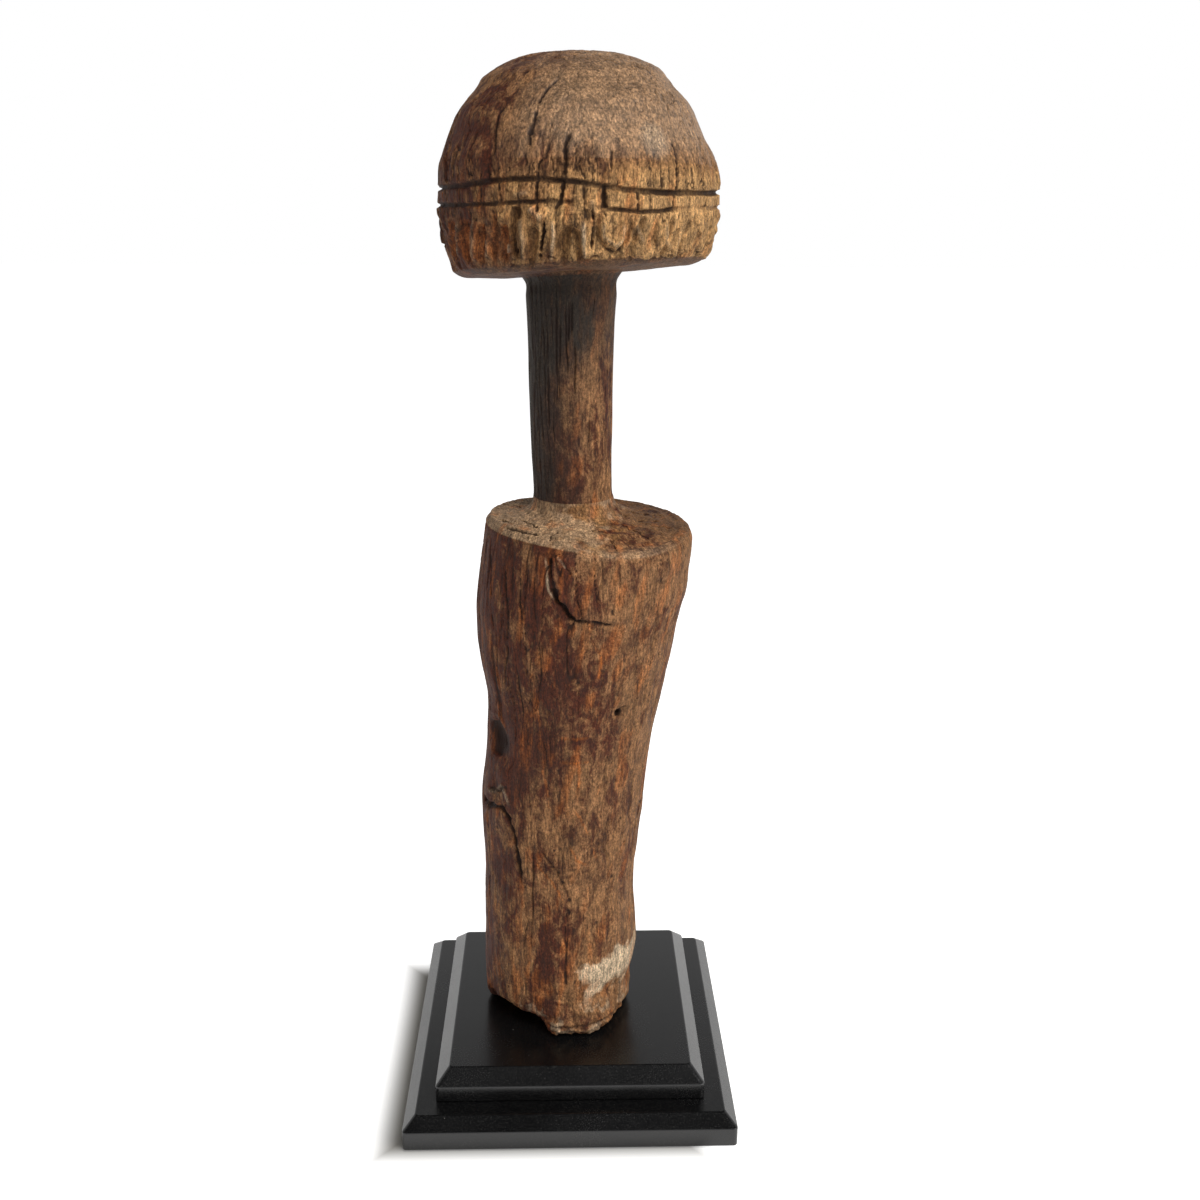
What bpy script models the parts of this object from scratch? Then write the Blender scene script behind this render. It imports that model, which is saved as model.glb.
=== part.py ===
"""A carved wooden ancestor figure that lifts off the two pins of its black two-tier plinth.

Metres, +Z up. The origin is on the table at the middle of the plinth, and the figure's front faces -Y.
"""

from math import cos, pi, radians, sin

import bmesh
import bpy
from mathutils import Vector

# Driving dimensions. The gap is what every pair of touching pieces keeps.
GAP = 0.0003

# Plinth: two boards with a chamfer round the top, each as (inwards, down).
LOWER_TIER_WIDTH = 0.150
LOWER_TIER_THICKNESS = 0.0141
LOWER_TIER_CHAMFER = (0.0055, 0.0052)
TIER_STEP = 0.014
UPPER_TIER_THICKNESS = 0.0141
UPPER_TIER_CHAMFER = (0.0061, 0.0066)
TIER_CORNER_RADIUS = 0.0018
TIER_EDGE_EASE = 0.0004

# Felt pads under the corners of the lower tier.
PAD_RADIUS = 0.008
PAD_THICKNESS = 0.0012
PAD_FROM_SIDE = 0.017

# Countersunk screws that join the tiers from below.
SCREW_RADIUS = 0.0020
SCREW_LENGTH = 0.022
SCREW_HEAD_RADIUS = 0.0039
SCREW_HEAD_HEIGHT = 0.0023
SCREW_SLOT = (0.0009, 0.0010)
SCREW_TIP = 0.0035
SCREW_SUNK = 0.0004
SCREW_FROM_SIDE = 0.019

# Pin that carries the figure, with a collar let into the upper tier and a nut under the lower tier.
PIN_RADIUS = 0.0040
PIN_IN_FIGURE = 0.040
PIN_TIP_CHAMFER = 0.0010
COLLAR_RADIUS = 0.0080
COLLAR_THICKNESS = 0.0020
WASHER_RADIUS = 0.0080
WASHER_THICKNESS = 0.0016
NUT_ACROSS_FLATS = 0.0130
NUT_THICKNESS = 0.0040
NUT_CORNER_CHAMFER = 0.0009
PIN_BELOW_NUT = 0.0012
NUT_POCKET_RADIUS = 0.0110
NUT_POCKET_SPARE = 0.0008

# Short pin that stops the figure from turning, behind the main pin.
LOCATING_PIN_RADIUS = 0.0025
LOCATING_PIN_IN_TIER = 0.0080
LOCATING_PIN_IN_FIGURE = 0.0150
LOCATING_PIN_BEHIND = 0.0180
HOLE_END_CLEARANCE = 0.0020

# Figure, from its foot up: the body, the neck and the mushroom-shaped head.
BODY_HEIGHT = 0.242
SHOULDER_HALF_WIDTH = 0.0459
SHOULDER_MOUND = 0.0080
SHOULDER_SLOPE = -0.05
NECK_LENGTH = 0.104
NECK_HALF_WIDTH = 0.0172
NECK_CENTRE = 0.0015
HEAD_HEIGHT = 0.084
HEAD_HALF_WIDTH = 0.0565
HEAD_CENTRE = 0.0040
HEAD_SLOPE = (0.06, -0.10)
DEPTH_SHARE = 0.96
GROOVE_DEPTH = 0.0024
GROOVE_WIDTH = 0.0028
GROOVE_SHARES = (0.306, 0.377)
BREAK_HEIGHT = 0.012
BREAK_REACH = 0.030
BREAK_ANGLE = radians(234)
BREAK_HALF_ANGLE = radians(58)
BREAK_INNER_SHARE = 0.55
CARVING_SHARE = 0.012
RING_POINTS = 44

# Share of the body's height, shift of the middle to the right, share of the shoulder's half-width.
BODY_OUTLINE = (
    (0.00, -0.0056, 0.710),
    (0.03, -0.0054, 0.750),
    (0.12, -0.0045, 0.790),
    (0.26, -0.0049, 0.770),
    (0.40, -0.0033, 0.805),
    (0.53, -0.0015, 0.822),
    (0.65, 0.0016, 0.850),
    (0.77, 0.0030, 0.945),
    (0.89, 0.0062, 1.000),
    (0.97, 0.0080, 0.990),
)
# Share of the shoulder's half-width, share of the mound's rise: the rounded edge and the top of the body.
SHOULDER_OUTLINE = (
    (0.955, 0.00),
    (0.880, 0.32),
    (0.700, 0.55),
    (0.520, 0.82),
)
# Share of the neck's length, share of its half-width.
NECK_OUTLINE = (
    (0.05, 1.18),
    (0.12, 1.03),
    (0.45, 1.00),
    (0.75, 1.06),
    (0.96, 1.09),
)
# Share of the head's height, share of its half-width: the flat underside, the rim and the skirt.
SKIRT_OUTLINE = (
    (0.030, 0.40),
    (0.010, 0.60),
    (0.005, 0.78),
    (0.020, 0.87),
    (0.070, 0.935),
    (0.160, 0.980),
    (0.265, 0.990),
)
# The dome above the grooves, in the same shares.
DOME_OUTLINE = (
    (0.425, 1.000),
    (0.500, 0.975),
    (0.600, 0.900),
    (0.700, 0.830),
    (0.790, 0.740),
    (0.880, 0.610),
    (0.945, 0.450),
    (0.985, 0.240),
)
BODY_RING_STEPS = 2
HEAD_RING_STEPS = 2

# Heights and places worked out from the driving dimensions.
UPPER_TIER_WIDTH = LOWER_TIER_WIDTH - 2 * TIER_STEP
LOWER_BOTTOM = PAD_THICKNESS + GAP
LOWER_TOP = LOWER_BOTTOM + LOWER_TIER_THICKNESS
UPPER_BOTTOM = LOWER_TOP + GAP
UPPER_TOP = UPPER_BOTTOM + UPPER_TIER_THICKNESS
FIGURE_BOTTOM = UPPER_TOP + GAP
PIN_PLACE = Vector((BODY_OUTLINE[0][1], 0.0, 0.0))
LOCATING_PIN_PLACE = PIN_PLACE + Vector((0.0, LOCATING_PIN_BEHIND, 0.0))
COLLAR_TOP = UPPER_TOP - GAP
COLLAR_BOTTOM = COLLAR_TOP - COLLAR_THICKNESS
NUT_STACK = GAP + WASHER_THICKNESS + GAP + NUT_THICKNESS
NUT_POCKET_DEPTH = NUT_STACK + PIN_BELOW_NUT + NUT_POCKET_SPARE
NUT_POCKET_TOP = LOWER_BOTTOM + NUT_POCKET_DEPTH
WASHER_BOTTOM = NUT_POCKET_TOP - GAP - WASHER_THICKNESS
NUT_BOTTOM = NUT_POCKET_TOP - NUT_STACK
PIN_BOTTOM = NUT_BOTTOM - PIN_BELOW_NUT
PIN_TOP = FIGURE_BOTTOM + PIN_IN_FIGURE
LOCATING_PIN_BOTTOM = UPPER_TOP - LOCATING_PIN_IN_TIER
LOCATING_PIN_TOP = FIGURE_BOTTOM + LOCATING_PIN_IN_FIGURE
PAD_OFFSET = LOWER_TIER_WIDTH / 2 - PAD_FROM_SIDE
SCREW_OFFSET = UPPER_TIER_WIDTH / 2 - SCREW_FROM_SIDE
SCREW_BOTTOM = LOWER_BOTTOM + SCREW_SUNK
CORNERS = (("front_left", -1, -1), ("front_right", 1, -1), ("back_left", -1, 1), ("back_right", 1, 1))


def clear_scene():
    for obj in list(bpy.data.objects):
        bpy.data.objects.remove(obj)


def make_material(name, colour, roughness, metallic=0.0):
    material = bpy.data.materials.new(name)
    material.use_nodes = True
    shader = material.node_tree.nodes["Principled BSDF"]
    shader.inputs["Base Color"].default_value = (*colour, 1.0)
    shader.inputs["Roughness"].default_value = roughness
    shader.inputs["Metallic"].default_value = metallic
    return material


def add_object(name, mesh_builder, material=None, location=(0.0, 0.0, 0.0)):
    """Turn a finished bmesh into a smooth-shaded object whose sharp edges stay crisp."""
    bmesh.ops.recalc_face_normals(mesh_builder, faces=mesh_builder.faces)
    mesh = bpy.data.meshes.new(name)
    mesh_builder.to_mesh(mesh)
    mesh_builder.free()
    mesh.shade_smooth()
    mesh.set_sharp_from_angle(angle=radians(35))
    obj = bpy.data.objects.new(name, mesh)
    obj.location = location
    bpy.context.scene.collection.objects.link(obj)
    if material:
        mesh.materials.append(material)
    return obj


def turned(profile, steps=32):
    """Spin an outline of (radius, height) points round the Z axis; a point of radius 0 closes an end."""
    builder = bmesh.new()
    points = [builder.verts.new((radius, 0.0, height)) for radius, height in profile]
    edges = [builder.edges.new(pair) for pair in zip(points, points[1:])]
    if profile[0][0] > 0.0:
        edges.append(builder.edges.new((points[-1], points[0])))
    bmesh.ops.spin(
        builder,
        geom=points + edges,
        cent=(0.0, 0.0, 0.0),
        axis=(0.0, 0.0, 1.0),
        angle=2 * pi,
        steps=steps,
        use_merge=True,
    )
    bmesh.ops.remove_doubles(builder, verts=builder.verts, dist=1e-6)
    return builder


def cylinder_profile(radius, bottom, top):
    return ((0.0, top), (radius, top), (radius, bottom), (0.0, bottom))


def cut(target, cutter, operation="DIFFERENCE"):
    modifier = target.modifiers.new(cutter.name, "BOOLEAN")
    modifier.object = cutter
    modifier.operation = operation
    cutter.hide_render = True
    cutter.display_type = "WIRE"


def drill(target, name, radius, bottom, top, place):
    """Cut a round hole of this radius, between two heights, through or into a piece."""
    cutter = add_object(name, turned(cylinder_profile(radius, bottom, top)), location=place)
    cut(target, cutter)


def rounded_square(half_width, steps=4):
    """Points round a square whose four upright corners are worn to a small radius."""
    points = []
    centre = half_width - TIER_CORNER_RADIUS
    for quarter, (x, y) in enumerate(((1, 1), (-1, 1), (-1, -1), (1, -1))):
        for step in range(steps + 1):
            angle = (quarter + step / steps) * pi / 2
            away = TIER_CORNER_RADIUS * Vector((cos(angle), sin(angle)))
            points.append((x * centre + away.x, y * centre + away.y))
    return points


def make_tier(name, width, bottom, thickness, chamfer, material):
    """A square board, its top edge cut back by the chamfer and every edge slightly eased."""
    inwards, down = chamfer
    levels = (
        (width / 2, bottom),
        (width / 2, bottom + thickness - down),
        (width / 2 - inwards, bottom + thickness),
    )
    builder = bmesh.new()
    squares = []
    for half, height in levels:
        squares.append([builder.verts.new((x, y, height)) for x, y in rounded_square(half)])
    for lower, upper in zip(squares, squares[1:]):
        for i in range(len(lower)):
            builder.faces.new((lower[i - 1], lower[i], upper[i], upper[i - 1]))
    builder.faces.new(squares[0])
    builder.faces.new(squares[-1])
    tier = add_object(name, builder, material)
    ease = tier.modifiers.new("edge_ease", "BEVEL")
    ease.width = TIER_EDGE_EASE
    ease.segments = 2
    ease.limit_method = "ANGLE"
    ease.angle_limit = radians(20)
    return tier


def make_plinth(black_wood):
    lower = make_tier(
        "plinth_lower", LOWER_TIER_WIDTH, LOWER_BOTTOM, LOWER_TIER_THICKNESS, LOWER_TIER_CHAMFER, black_wood
    )
    upper = make_tier(
        "plinth_upper", UPPER_TIER_WIDTH, UPPER_BOTTOM, UPPER_TIER_THICKNESS, UPPER_TIER_CHAMFER, black_wood
    )
    pin_hole = PIN_RADIUS + GAP
    drill(lower, "cut_lower_pin_hole", pin_hole, NUT_POCKET_TOP - GAP, LOWER_TOP + GAP, PIN_PLACE)
    drill(lower, "cut_nut_pocket", NUT_POCKET_RADIUS, LOWER_BOTTOM - GAP, NUT_POCKET_TOP, PIN_PLACE)
    drill(upper, "cut_upper_pin_hole", pin_hole, UPPER_BOTTOM - GAP, COLLAR_BOTTOM, PIN_PLACE)
    drill(upper, "cut_collar_seat", COLLAR_RADIUS + GAP, COLLAR_BOTTOM - GAP, UPPER_TOP + GAP, PIN_PLACE)
    locating_hole = LOCATING_PIN_RADIUS + GAP
    hole_bottom = LOCATING_PIN_BOTTOM - GAP
    drill(upper, "cut_upper_locating_hole", locating_hole, hole_bottom, UPPER_TOP + GAP, LOCATING_PIN_PLACE)
    return lower, upper


def countersunk_profile(radius, head_radius, length, tip):
    """Screw outline from its tip down to the wide face of its head at height 0."""
    return (
        (0.0, length),
        (radius * 0.75, length - tip),
        (radius, length - tip - radius / 2),
        (radius, SCREW_HEAD_HEIGHT),
        (head_radius, SCREW_HEAD_HEIGHT * 0.15),
        (head_radius, 0.0),
        (0.0, 0.0),
    )


def make_tier_screw(name, place, lower, upper, steel):
    screw = add_object(
        name,
        turned(countersunk_profile(SCREW_RADIUS, SCREW_HEAD_RADIUS, SCREW_LENGTH, SCREW_TIP), 24),
        steel,
        place,
    )
    slot_width, slot_depth = SCREW_SLOT
    slot = bmesh.new()
    bmesh.ops.create_cube(slot, size=1.0)
    bmesh.ops.scale(slot, verts=slot.verts, vec=(4 * SCREW_HEAD_RADIUS, slot_width, 2 * slot_depth))
    cut(screw, add_object("cut_slot_" + name, slot, location=place))
    sink = (
        (0.0, SCREW_LENGTH + 2 * GAP),
        (SCREW_RADIUS + GAP, SCREW_LENGTH + 2 * GAP),
        (SCREW_RADIUS + GAP, SCREW_HEAD_HEIGHT + GAP),
        (SCREW_HEAD_RADIUS + GAP, SCREW_HEAD_HEIGHT * 0.15 + GAP),
        (SCREW_HEAD_RADIUS + GAP, -SCREW_SUNK - GAP),
        (0.0, -SCREW_SUNK - GAP),
    )
    for tier in (lower, upper):
        cut(tier, add_object("cut_" + tier.name + "_" + name, turned(sink, 24), location=place))


def make_pads(felt):
    outline = cylinder_profile(PAD_RADIUS, 0.0, PAD_THICKNESS)
    for corner, right, back in CORNERS:
        add_object(
            "felt_pad_" + corner, turned(outline, 40), felt, (right * PAD_OFFSET, back * PAD_OFFSET, 0.0)
        )


def make_main_pin(steel):
    """One turned pin: threaded below the collar, plain above it, with a chamfered tip."""
    profile = (
        (0.0, PIN_TOP),
        (PIN_RADIUS - PIN_TIP_CHAMFER, PIN_TOP),
        (PIN_RADIUS, PIN_TOP - PIN_TIP_CHAMFER),
        (PIN_RADIUS, COLLAR_TOP),
        (COLLAR_RADIUS, COLLAR_TOP),
        (COLLAR_RADIUS, COLLAR_BOTTOM + GAP),
        (PIN_RADIUS, COLLAR_BOTTOM + GAP),
        (PIN_RADIUS, PIN_BOTTOM + PIN_TIP_CHAMFER / 2),
        (PIN_RADIUS - PIN_TIP_CHAMFER / 2, PIN_BOTTOM),
        (0.0, PIN_BOTTOM),
    )
    add_object("main_pin", turned(profile), steel, PIN_PLACE)


def make_locating_pin(steel):
    profile = (
        (0.0, LOCATING_PIN_TOP),
        (LOCATING_PIN_RADIUS - PIN_TIP_CHAMFER / 2, LOCATING_PIN_TOP),
        (LOCATING_PIN_RADIUS, LOCATING_PIN_TOP - PIN_TIP_CHAMFER / 2),
        (LOCATING_PIN_RADIUS, LOCATING_PIN_BOTTOM),
        (0.0, LOCATING_PIN_BOTTOM),
    )
    add_object("locating_pin", turned(profile, 24), steel, LOCATING_PIN_PLACE)


def make_washer_and_nut(zinc):
    bore = PIN_RADIUS + GAP
    ring = (
        (bore, WASHER_THICKNESS),
        (WASHER_RADIUS, WASHER_THICKNESS),
        (WASHER_RADIUS, 0.0),
        (bore, 0.0),
    )
    add_object("pin_washer", turned(ring), zinc, PIN_PLACE + Vector((0.0, 0.0, WASHER_BOTTOM)))
    corner_radius = NUT_ACROSS_FLATS / 2 / cos(pi / 6)
    chamfered = corner_radius - NUT_CORNER_CHAMFER
    blank = (
        (bore, NUT_THICKNESS),
        (chamfered, NUT_THICKNESS),
        (corner_radius, NUT_THICKNESS - NUT_CORNER_CHAMFER / 2),
        (corner_radius, NUT_CORNER_CHAMFER / 2),
        (chamfered, 0.0),
        (bore, 0.0),
    )
    place = PIN_PLACE + Vector((0.0, 0.0, NUT_BOTTOM))
    nut = add_object("pin_nut", turned(blank, 48), zinc, place)
    hexagon = turned(cylinder_profile(corner_radius, -GAP, NUT_THICKNESS + GAP), 6)
    cut(nut, add_object("cut_nut_hexagon", hexagon, location=place), "INTERSECT")


def smooth_curve(points, steps):
    """A curve through every point (Catmull-Rom), with this many steps between two of them."""
    vectors = [Vector(point) for point in points]
    result = []
    for i in range(len(vectors) - 1):
        before = vectors[max(i - 1, 0)]
        start, end = vectors[i], vectors[i + 1]
        after = vectors[min(i + 2, len(vectors) - 1)]
        for step in range(steps):
            t = step / steps
            result.append(
                0.5 * (2 * start + (end - before) * t)
                + 0.5 * (2 * before - 5 * start + 4 * end - after) * t * t
                + 0.5 * (3 * start - before - 3 * end + after) * t * t * t
            )
    result.append(vectors[-1])
    return result


def body_rings():
    """Rings as (height, middle, half-width, slope across, slope to the back)."""
    rings = []
    for share, middle, width in smooth_curve(BODY_OUTLINE, BODY_RING_STEPS):
        slope = SHOULDER_SLOPE * share**4
        rings.append((share * BODY_HEIGHT, middle, width * SHOULDER_HALF_WIDTH, slope, 0.0))
    shoulder_middle = BODY_OUTLINE[-1][1]
    for width, rise in SHOULDER_OUTLINE:
        inwards = 1.0 - width
        middle = shoulder_middle + (NECK_CENTRE - shoulder_middle) * inwards
        height = BODY_HEIGHT + rise * SHOULDER_MOUND
        rings.append((height, middle, width * SHOULDER_HALF_WIDTH, SHOULDER_SLOPE, 0.0))
    return rings


def neck_rings():
    across, to_back = HEAD_SLOPE
    rings = []
    for share, width in NECK_OUTLINE:
        slope = SHOULDER_SLOPE * (1.0 - share) + across * share
        height = BODY_HEIGHT + SHOULDER_MOUND + share * (NECK_LENGTH - SHOULDER_MOUND)
        rings.append((height, NECK_CENTRE, width * NECK_HALF_WIDTH, slope, to_back * share))
    return rings


def head_rings():
    across, to_back = HEAD_SLOPE
    outline = smooth_curve(SKIRT_OUTLINE, HEAD_RING_STEPS)
    half_groove = GROOVE_WIDTH / 2 / HEAD_HEIGHT
    grooved = 1.0 - GROOVE_DEPTH / HEAD_HALF_WIDTH
    for share in GROOVE_SHARES:
        outline += [
            Vector((share - half_groove, 1.0)),
            Vector((share - half_groove * 0.6, grooved)),
            Vector((share + half_groove * 0.6, grooved)),
            Vector((share + half_groove, 1.0)),
        ]
    outline += smooth_curve(DOME_OUTLINE, HEAD_RING_STEPS)
    base = BODY_HEIGHT + NECK_LENGTH
    return [
        (base + share * HEAD_HEIGHT, HEAD_CENTRE, width * HEAD_HALF_WIDTH, across, to_back)
        for share, width in outline
    ]


def break_lift(angle):
    """How far the broken-off front left edge of the foot stands above the plinth."""
    away = abs((angle - BREAK_ANGLE + pi) % (2 * pi) - pi)
    if away >= BREAK_HALF_ANGLE:
        return 0.0
    return BREAK_HEIGHT * (0.5 + 0.5 * cos(pi * away / BREAK_HALF_ANGLE)) ** 0.6


def carved(angle, height):
    """The slight out-of-round that the adze leaves, turning slowly with height."""
    return 1.0 + CARVING_SHARE * (cos(2 * angle + 9.0 * height) + sin(3 * angle - 17.0 * height)) / 2


def ring_points(ring):
    height, middle, half_width, across, to_back = ring
    points = []
    for i in range(RING_POINTS):
        angle = 2 * pi * i / RING_POINTS
        radius = half_width * carved(angle, height)
        x = radius * cos(angle)
        y = radius * DEPTH_SHARE * sin(angle)
        lift = break_lift(angle) * max(0.0, 1.0 - height / BREAK_REACH)
        points.append((middle + x, y, height + across * x + to_back * y + lift))
    return points


def make_figure(old_wood):
    """One log carved all round: rings of points from the foot to the crown, closed by a fan at each end."""
    rings = body_rings() + neck_rings() + head_rings()
    levels = [ring_points(ring) for ring in rings]
    middle = BODY_OUTLINE[0][1]
    inner = [
        (middle + (x - middle) * BREAK_INNER_SHARE, y * BREAK_INNER_SHARE, 0.0) for x, y, _ in levels[0]
    ]
    levels.insert(0, inner)
    across, to_back = HEAD_SLOPE
    builder = bmesh.new()
    loops = [[builder.verts.new(point) for point in level] for level in levels]
    for lower, upper in zip(loops, loops[1:]):
        for i in range(RING_POINTS):
            builder.faces.new((lower[i - 1], lower[i], upper[i], upper[i - 1]))
    foot = builder.verts.new((middle, 0.0, 0.0))
    crown = builder.verts.new((HEAD_CENTRE, 0.0, BODY_HEIGHT + NECK_LENGTH + HEAD_HEIGHT))
    for i in range(RING_POINTS):
        builder.faces.new((foot, loops[0][i], loops[0][i - 1]))
        builder.faces.new((crown, loops[-1][i - 1], loops[-1][i]))
    figure = add_object("figure", builder, old_wood, (0.0, 0.0, FIGURE_BOTTOM))
    hole_top = PIN_TOP + HOLE_END_CLEARANCE
    below = FIGURE_BOTTOM - GAP
    drill(figure, "cut_figure_pin_hole", PIN_RADIUS + GAP, below, hole_top, PIN_PLACE)
    locating_top = LOCATING_PIN_TOP + HOLE_END_CLEARANCE
    locating_hole = LOCATING_PIN_RADIUS + GAP
    drill(figure, "cut_figure_locating_hole", locating_hole, below, locating_top, LOCATING_PIN_PLACE)


def main():
    clear_scene()
    old_wood = make_material("old_wood", (0.17, 0.085, 0.040), 0.55)
    black_wood = make_material("black_painted_wood", (0.012, 0.012, 0.013), 0.30)
    steel = make_material("steel", (0.55, 0.55, 0.56), 0.30, 1.0)
    zinc = make_material("zinc_plate", (0.62, 0.63, 0.66), 0.36, 1.0)
    felt = make_material("black_felt", (0.015, 0.015, 0.016), 0.95)
    lower, upper = make_plinth(black_wood)
    for corner, right, back in CORNERS:
        place = (right * SCREW_OFFSET, back * SCREW_OFFSET, SCREW_BOTTOM)
        make_tier_screw("tier_screw_" + corner, place, lower, upper, zinc)
    make_pads(felt)
    make_main_pin(steel)
    make_locating_pin(steel)
    make_washer_and_nut(zinc)
    make_figure(old_wood)


main()
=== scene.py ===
"""A carved ancestor figure of old weathered wood, pinned to a stepped black plinth.

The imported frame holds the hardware, the plinth and the plain body of the figure. This script
carves the figure's real surface: one closed skin of rings and columns, shaped by an outline,
with cracks, gouges, grooves and worn ends cut into it, and then finishes every other piece.
"""

import math

import bmesh
import bpy
import numpy as np
from bpy.props import FloatProperty, FloatVectorProperty, IntProperty, PointerProperty
from mathutils import Euler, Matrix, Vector


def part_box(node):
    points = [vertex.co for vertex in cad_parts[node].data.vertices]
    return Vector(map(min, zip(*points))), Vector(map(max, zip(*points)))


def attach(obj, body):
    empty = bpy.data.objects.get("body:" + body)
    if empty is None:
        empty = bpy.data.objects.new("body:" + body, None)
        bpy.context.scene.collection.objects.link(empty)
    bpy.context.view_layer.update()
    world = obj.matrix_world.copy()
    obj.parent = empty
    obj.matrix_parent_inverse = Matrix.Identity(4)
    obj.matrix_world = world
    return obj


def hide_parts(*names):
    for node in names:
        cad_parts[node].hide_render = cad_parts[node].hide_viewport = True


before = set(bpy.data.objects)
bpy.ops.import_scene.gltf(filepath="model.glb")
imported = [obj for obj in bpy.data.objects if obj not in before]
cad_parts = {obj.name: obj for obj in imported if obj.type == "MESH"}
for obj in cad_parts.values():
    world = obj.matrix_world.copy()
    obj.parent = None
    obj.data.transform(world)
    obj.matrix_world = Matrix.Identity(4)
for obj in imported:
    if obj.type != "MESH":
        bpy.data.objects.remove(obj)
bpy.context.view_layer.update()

bl_info = {
    "name": "Carved ancestor figure",
    "version": (1, 0, 0),
    "blender": (4, 5, 0),
    "location": "View3D > Sidebar > Figure",
    "description": "Carves the figure, finishes its plinth and hardware, and sets the stage",
    "category": "Object",
}

MM = 0.001
FULL_TURN = 2 * math.pi
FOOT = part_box("figure")[0].z / MM


def shade(red, green, blue):
    """A linear colour from the red, green and blue of a paint chart, 0 to 255."""
    return tuple(
        part / 255 / 12.92 if part <= 10 else ((part / 255 + 0.055) / 1.055) ** 2.4
        for part in (red, green, blue)
    )


# ---------------------------------------------------------------------------
# The figure's outline, in millimetres above its foot, from the middle of the
# foot, up the body, over the shoulder, up the neck, out under the head and
# over the dome. Each point holds its height, the left and right edges of that
# ring, and how far the ring tips up to the right and to the back.
# ---------------------------------------------------------------------------

OUTLINE = (
    ("foot", 0.6, (
        (0.0, -6.1, -5.1, 0, 0), (0.0, -18, 6, 0, 0), (0.0, -28, 16.5, 0, 0), (0.2, -35, 23.5, 0, 0),
        (1.6, -38.6, 27, 0, 0),
    )),
    ("body", 0.62, (
        (4.5, -39.8, 28.7, 0, 0), (12, -40.2, 29.2, 0, 0), (20, -40.4, 29.7, 0, 0),
        (26, -40.5, 31.2, 0, 0), (32, -40.4, 32, 0, 0), (41, -40.2, 31.7, 0, 0), (52, -40.3, 31.0, 0, 0),
        (63, -40.2, 30.5, 0, 0), (74, -39.9, 30.9, 0, 0), (85, -39.8, 32.5, 0, 0), (95, -40.3, 33.3, 0, 0),
        (106, -40.6, 34.5, 0, 0), (116, -40.4, 35.2, 0, 0), (126, -39.4, 36, 0, 0),
        (136, -38.3, 37.2, 0, 0), (146, -37.8, 38.5, 0, 0), (156, -37.2, 40.5, 0, 0),
        (166, -37.7, 42.6, 0, 0), (176, -39.6, 44.2, 0, 0), (185.5, -40.7, 46.2, 0, 0),
        (195, -40.9, 47.5, 0, 0), (204.5, -41.1, 49.5, 0, 0), (214, -40.1, 51.8, 0, 0),
        (223, -38.9, 52.6, 0, 0), (231, -38.0, 53.7, 0, 0), (237, -37.1, 53.8, -0.02, 0),
    )),
    ("shoulder", 0.55, (
        (240.4, -36.2, 53.0, -0.04, -0.005), (242.2, -34.4, 51.3, -0.05, -0.01),
        (243.0, -31.6, 48.2, -0.05, -0.01), (243.6, -27, 42, -0.045, -0.01),
        (244.6, -21.5, 31, -0.04, -0.01), (246.2, -18.3, 24, -0.02, 0), (248.8, -16.4, 20.6, 0, 0),
    )),
    ("neck", 0.7, (
        (253, -15.5, 19.0, 0, 0), (260, -15.5, 18.6, 0, 0), (268, -16.0, 18.5, 0, 0),
        (285, -16.5, 18.6, 0, 0), (302, -16.9, 18.6, 0, 0), (318, -17.1, 18.8, 0, 0),
        (328, -17.4, 19.2, 0, 0), (337, -17.8, 19.8, 0.01, -0.02), (343.2, -17.9, 20.1, 0.05, -0.08),
    )),
    ("underside", 0.7, (
        (345.4, -19.2, 21.8, 0.06, -0.10), (346.2, -27, 33, 0.06, -0.10), (346.7, -38, 45, 0.06, -0.10),
        (347.4, -43.6, 51.5, 0.06, -0.10),
    )),
    ("skirt", 0.42, (
        (349.4, -46.9, 55.4, 0.058, -0.098), (352.4, -48.5, 57.7, 0.054, -0.096),
        (357, -49.8, 58.9, 0.046, -0.092), (363, -51.6, 60.0, 0.035, -0.086),
        (369, -52.2, 60.0, 0.018, -0.08), (374, -52.4, 60.1, 0.0, -0.075),
        (380.5, -52.5, 60.4, -0.01, -0.07),
    )),
    ("dome", 0.5, (
        (387, -52.1, 59.2, -0.01, -0.065), (393, -49.9, 57, -0.01, -0.06), (399, -47.5, 53.8, -0.01, -0.055),
        (405, -45.2, 51.0, -0.005, -0.05), (411, -41.2, 47.8, 0, -0.04), (416.6, -36.4, 42.3, 0, -0.03),
        (420, -34.0, 39.3, 0, -0.02), (422.8, -29.6, 36.7, 0, -0.01), (425.7, -23.6, 31.9, 0, 0),
        (428.4, -15.9, 23.8, 0, 0), (429.8, -7, 14.5, 0, 0), (430.2, 3.2, 4.2, 0, 0),
    )),
)
DEPTH_SHARE = 0.96
TILT_AXIS = 4.0

# The front left of the foot has rotted away: its edge stands clear of the plinth.
BREAK_HEIGHT, BREAK_ANGLE = 9.0, math.radians(225)
BREAK_FLAT, BREAK_END = math.radians(26), math.radians(41)
BREAK_BLEND = 42.0
LOBE_START, LOBE_END, LOBE_REACH = math.radians(263), math.radians(324), 4.4
BEVEL_ANGLE, BEVEL_SPREAD, BEVEL_DROP = math.radians(297), 0.62, 4.2


def smooth(low, high, value):
    """0 below low, 1 above high, and an even S between."""
    part = np.clip((np.asarray(value, float) - low) / (high - low), 0, 1)
    return part * part * (3 - 2 * part)


def bell(middle, reach, value):
    """1 at the middle, dying away evenly on both sides."""
    return np.exp(-(((np.asarray(value, float) - middle) / reach) ** 2))


def turned_by(angle, other):
    """How far apart two angles are, the short way round."""
    return (np.asarray(angle) - other + math.pi) % FULL_TURN - math.pi


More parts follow.
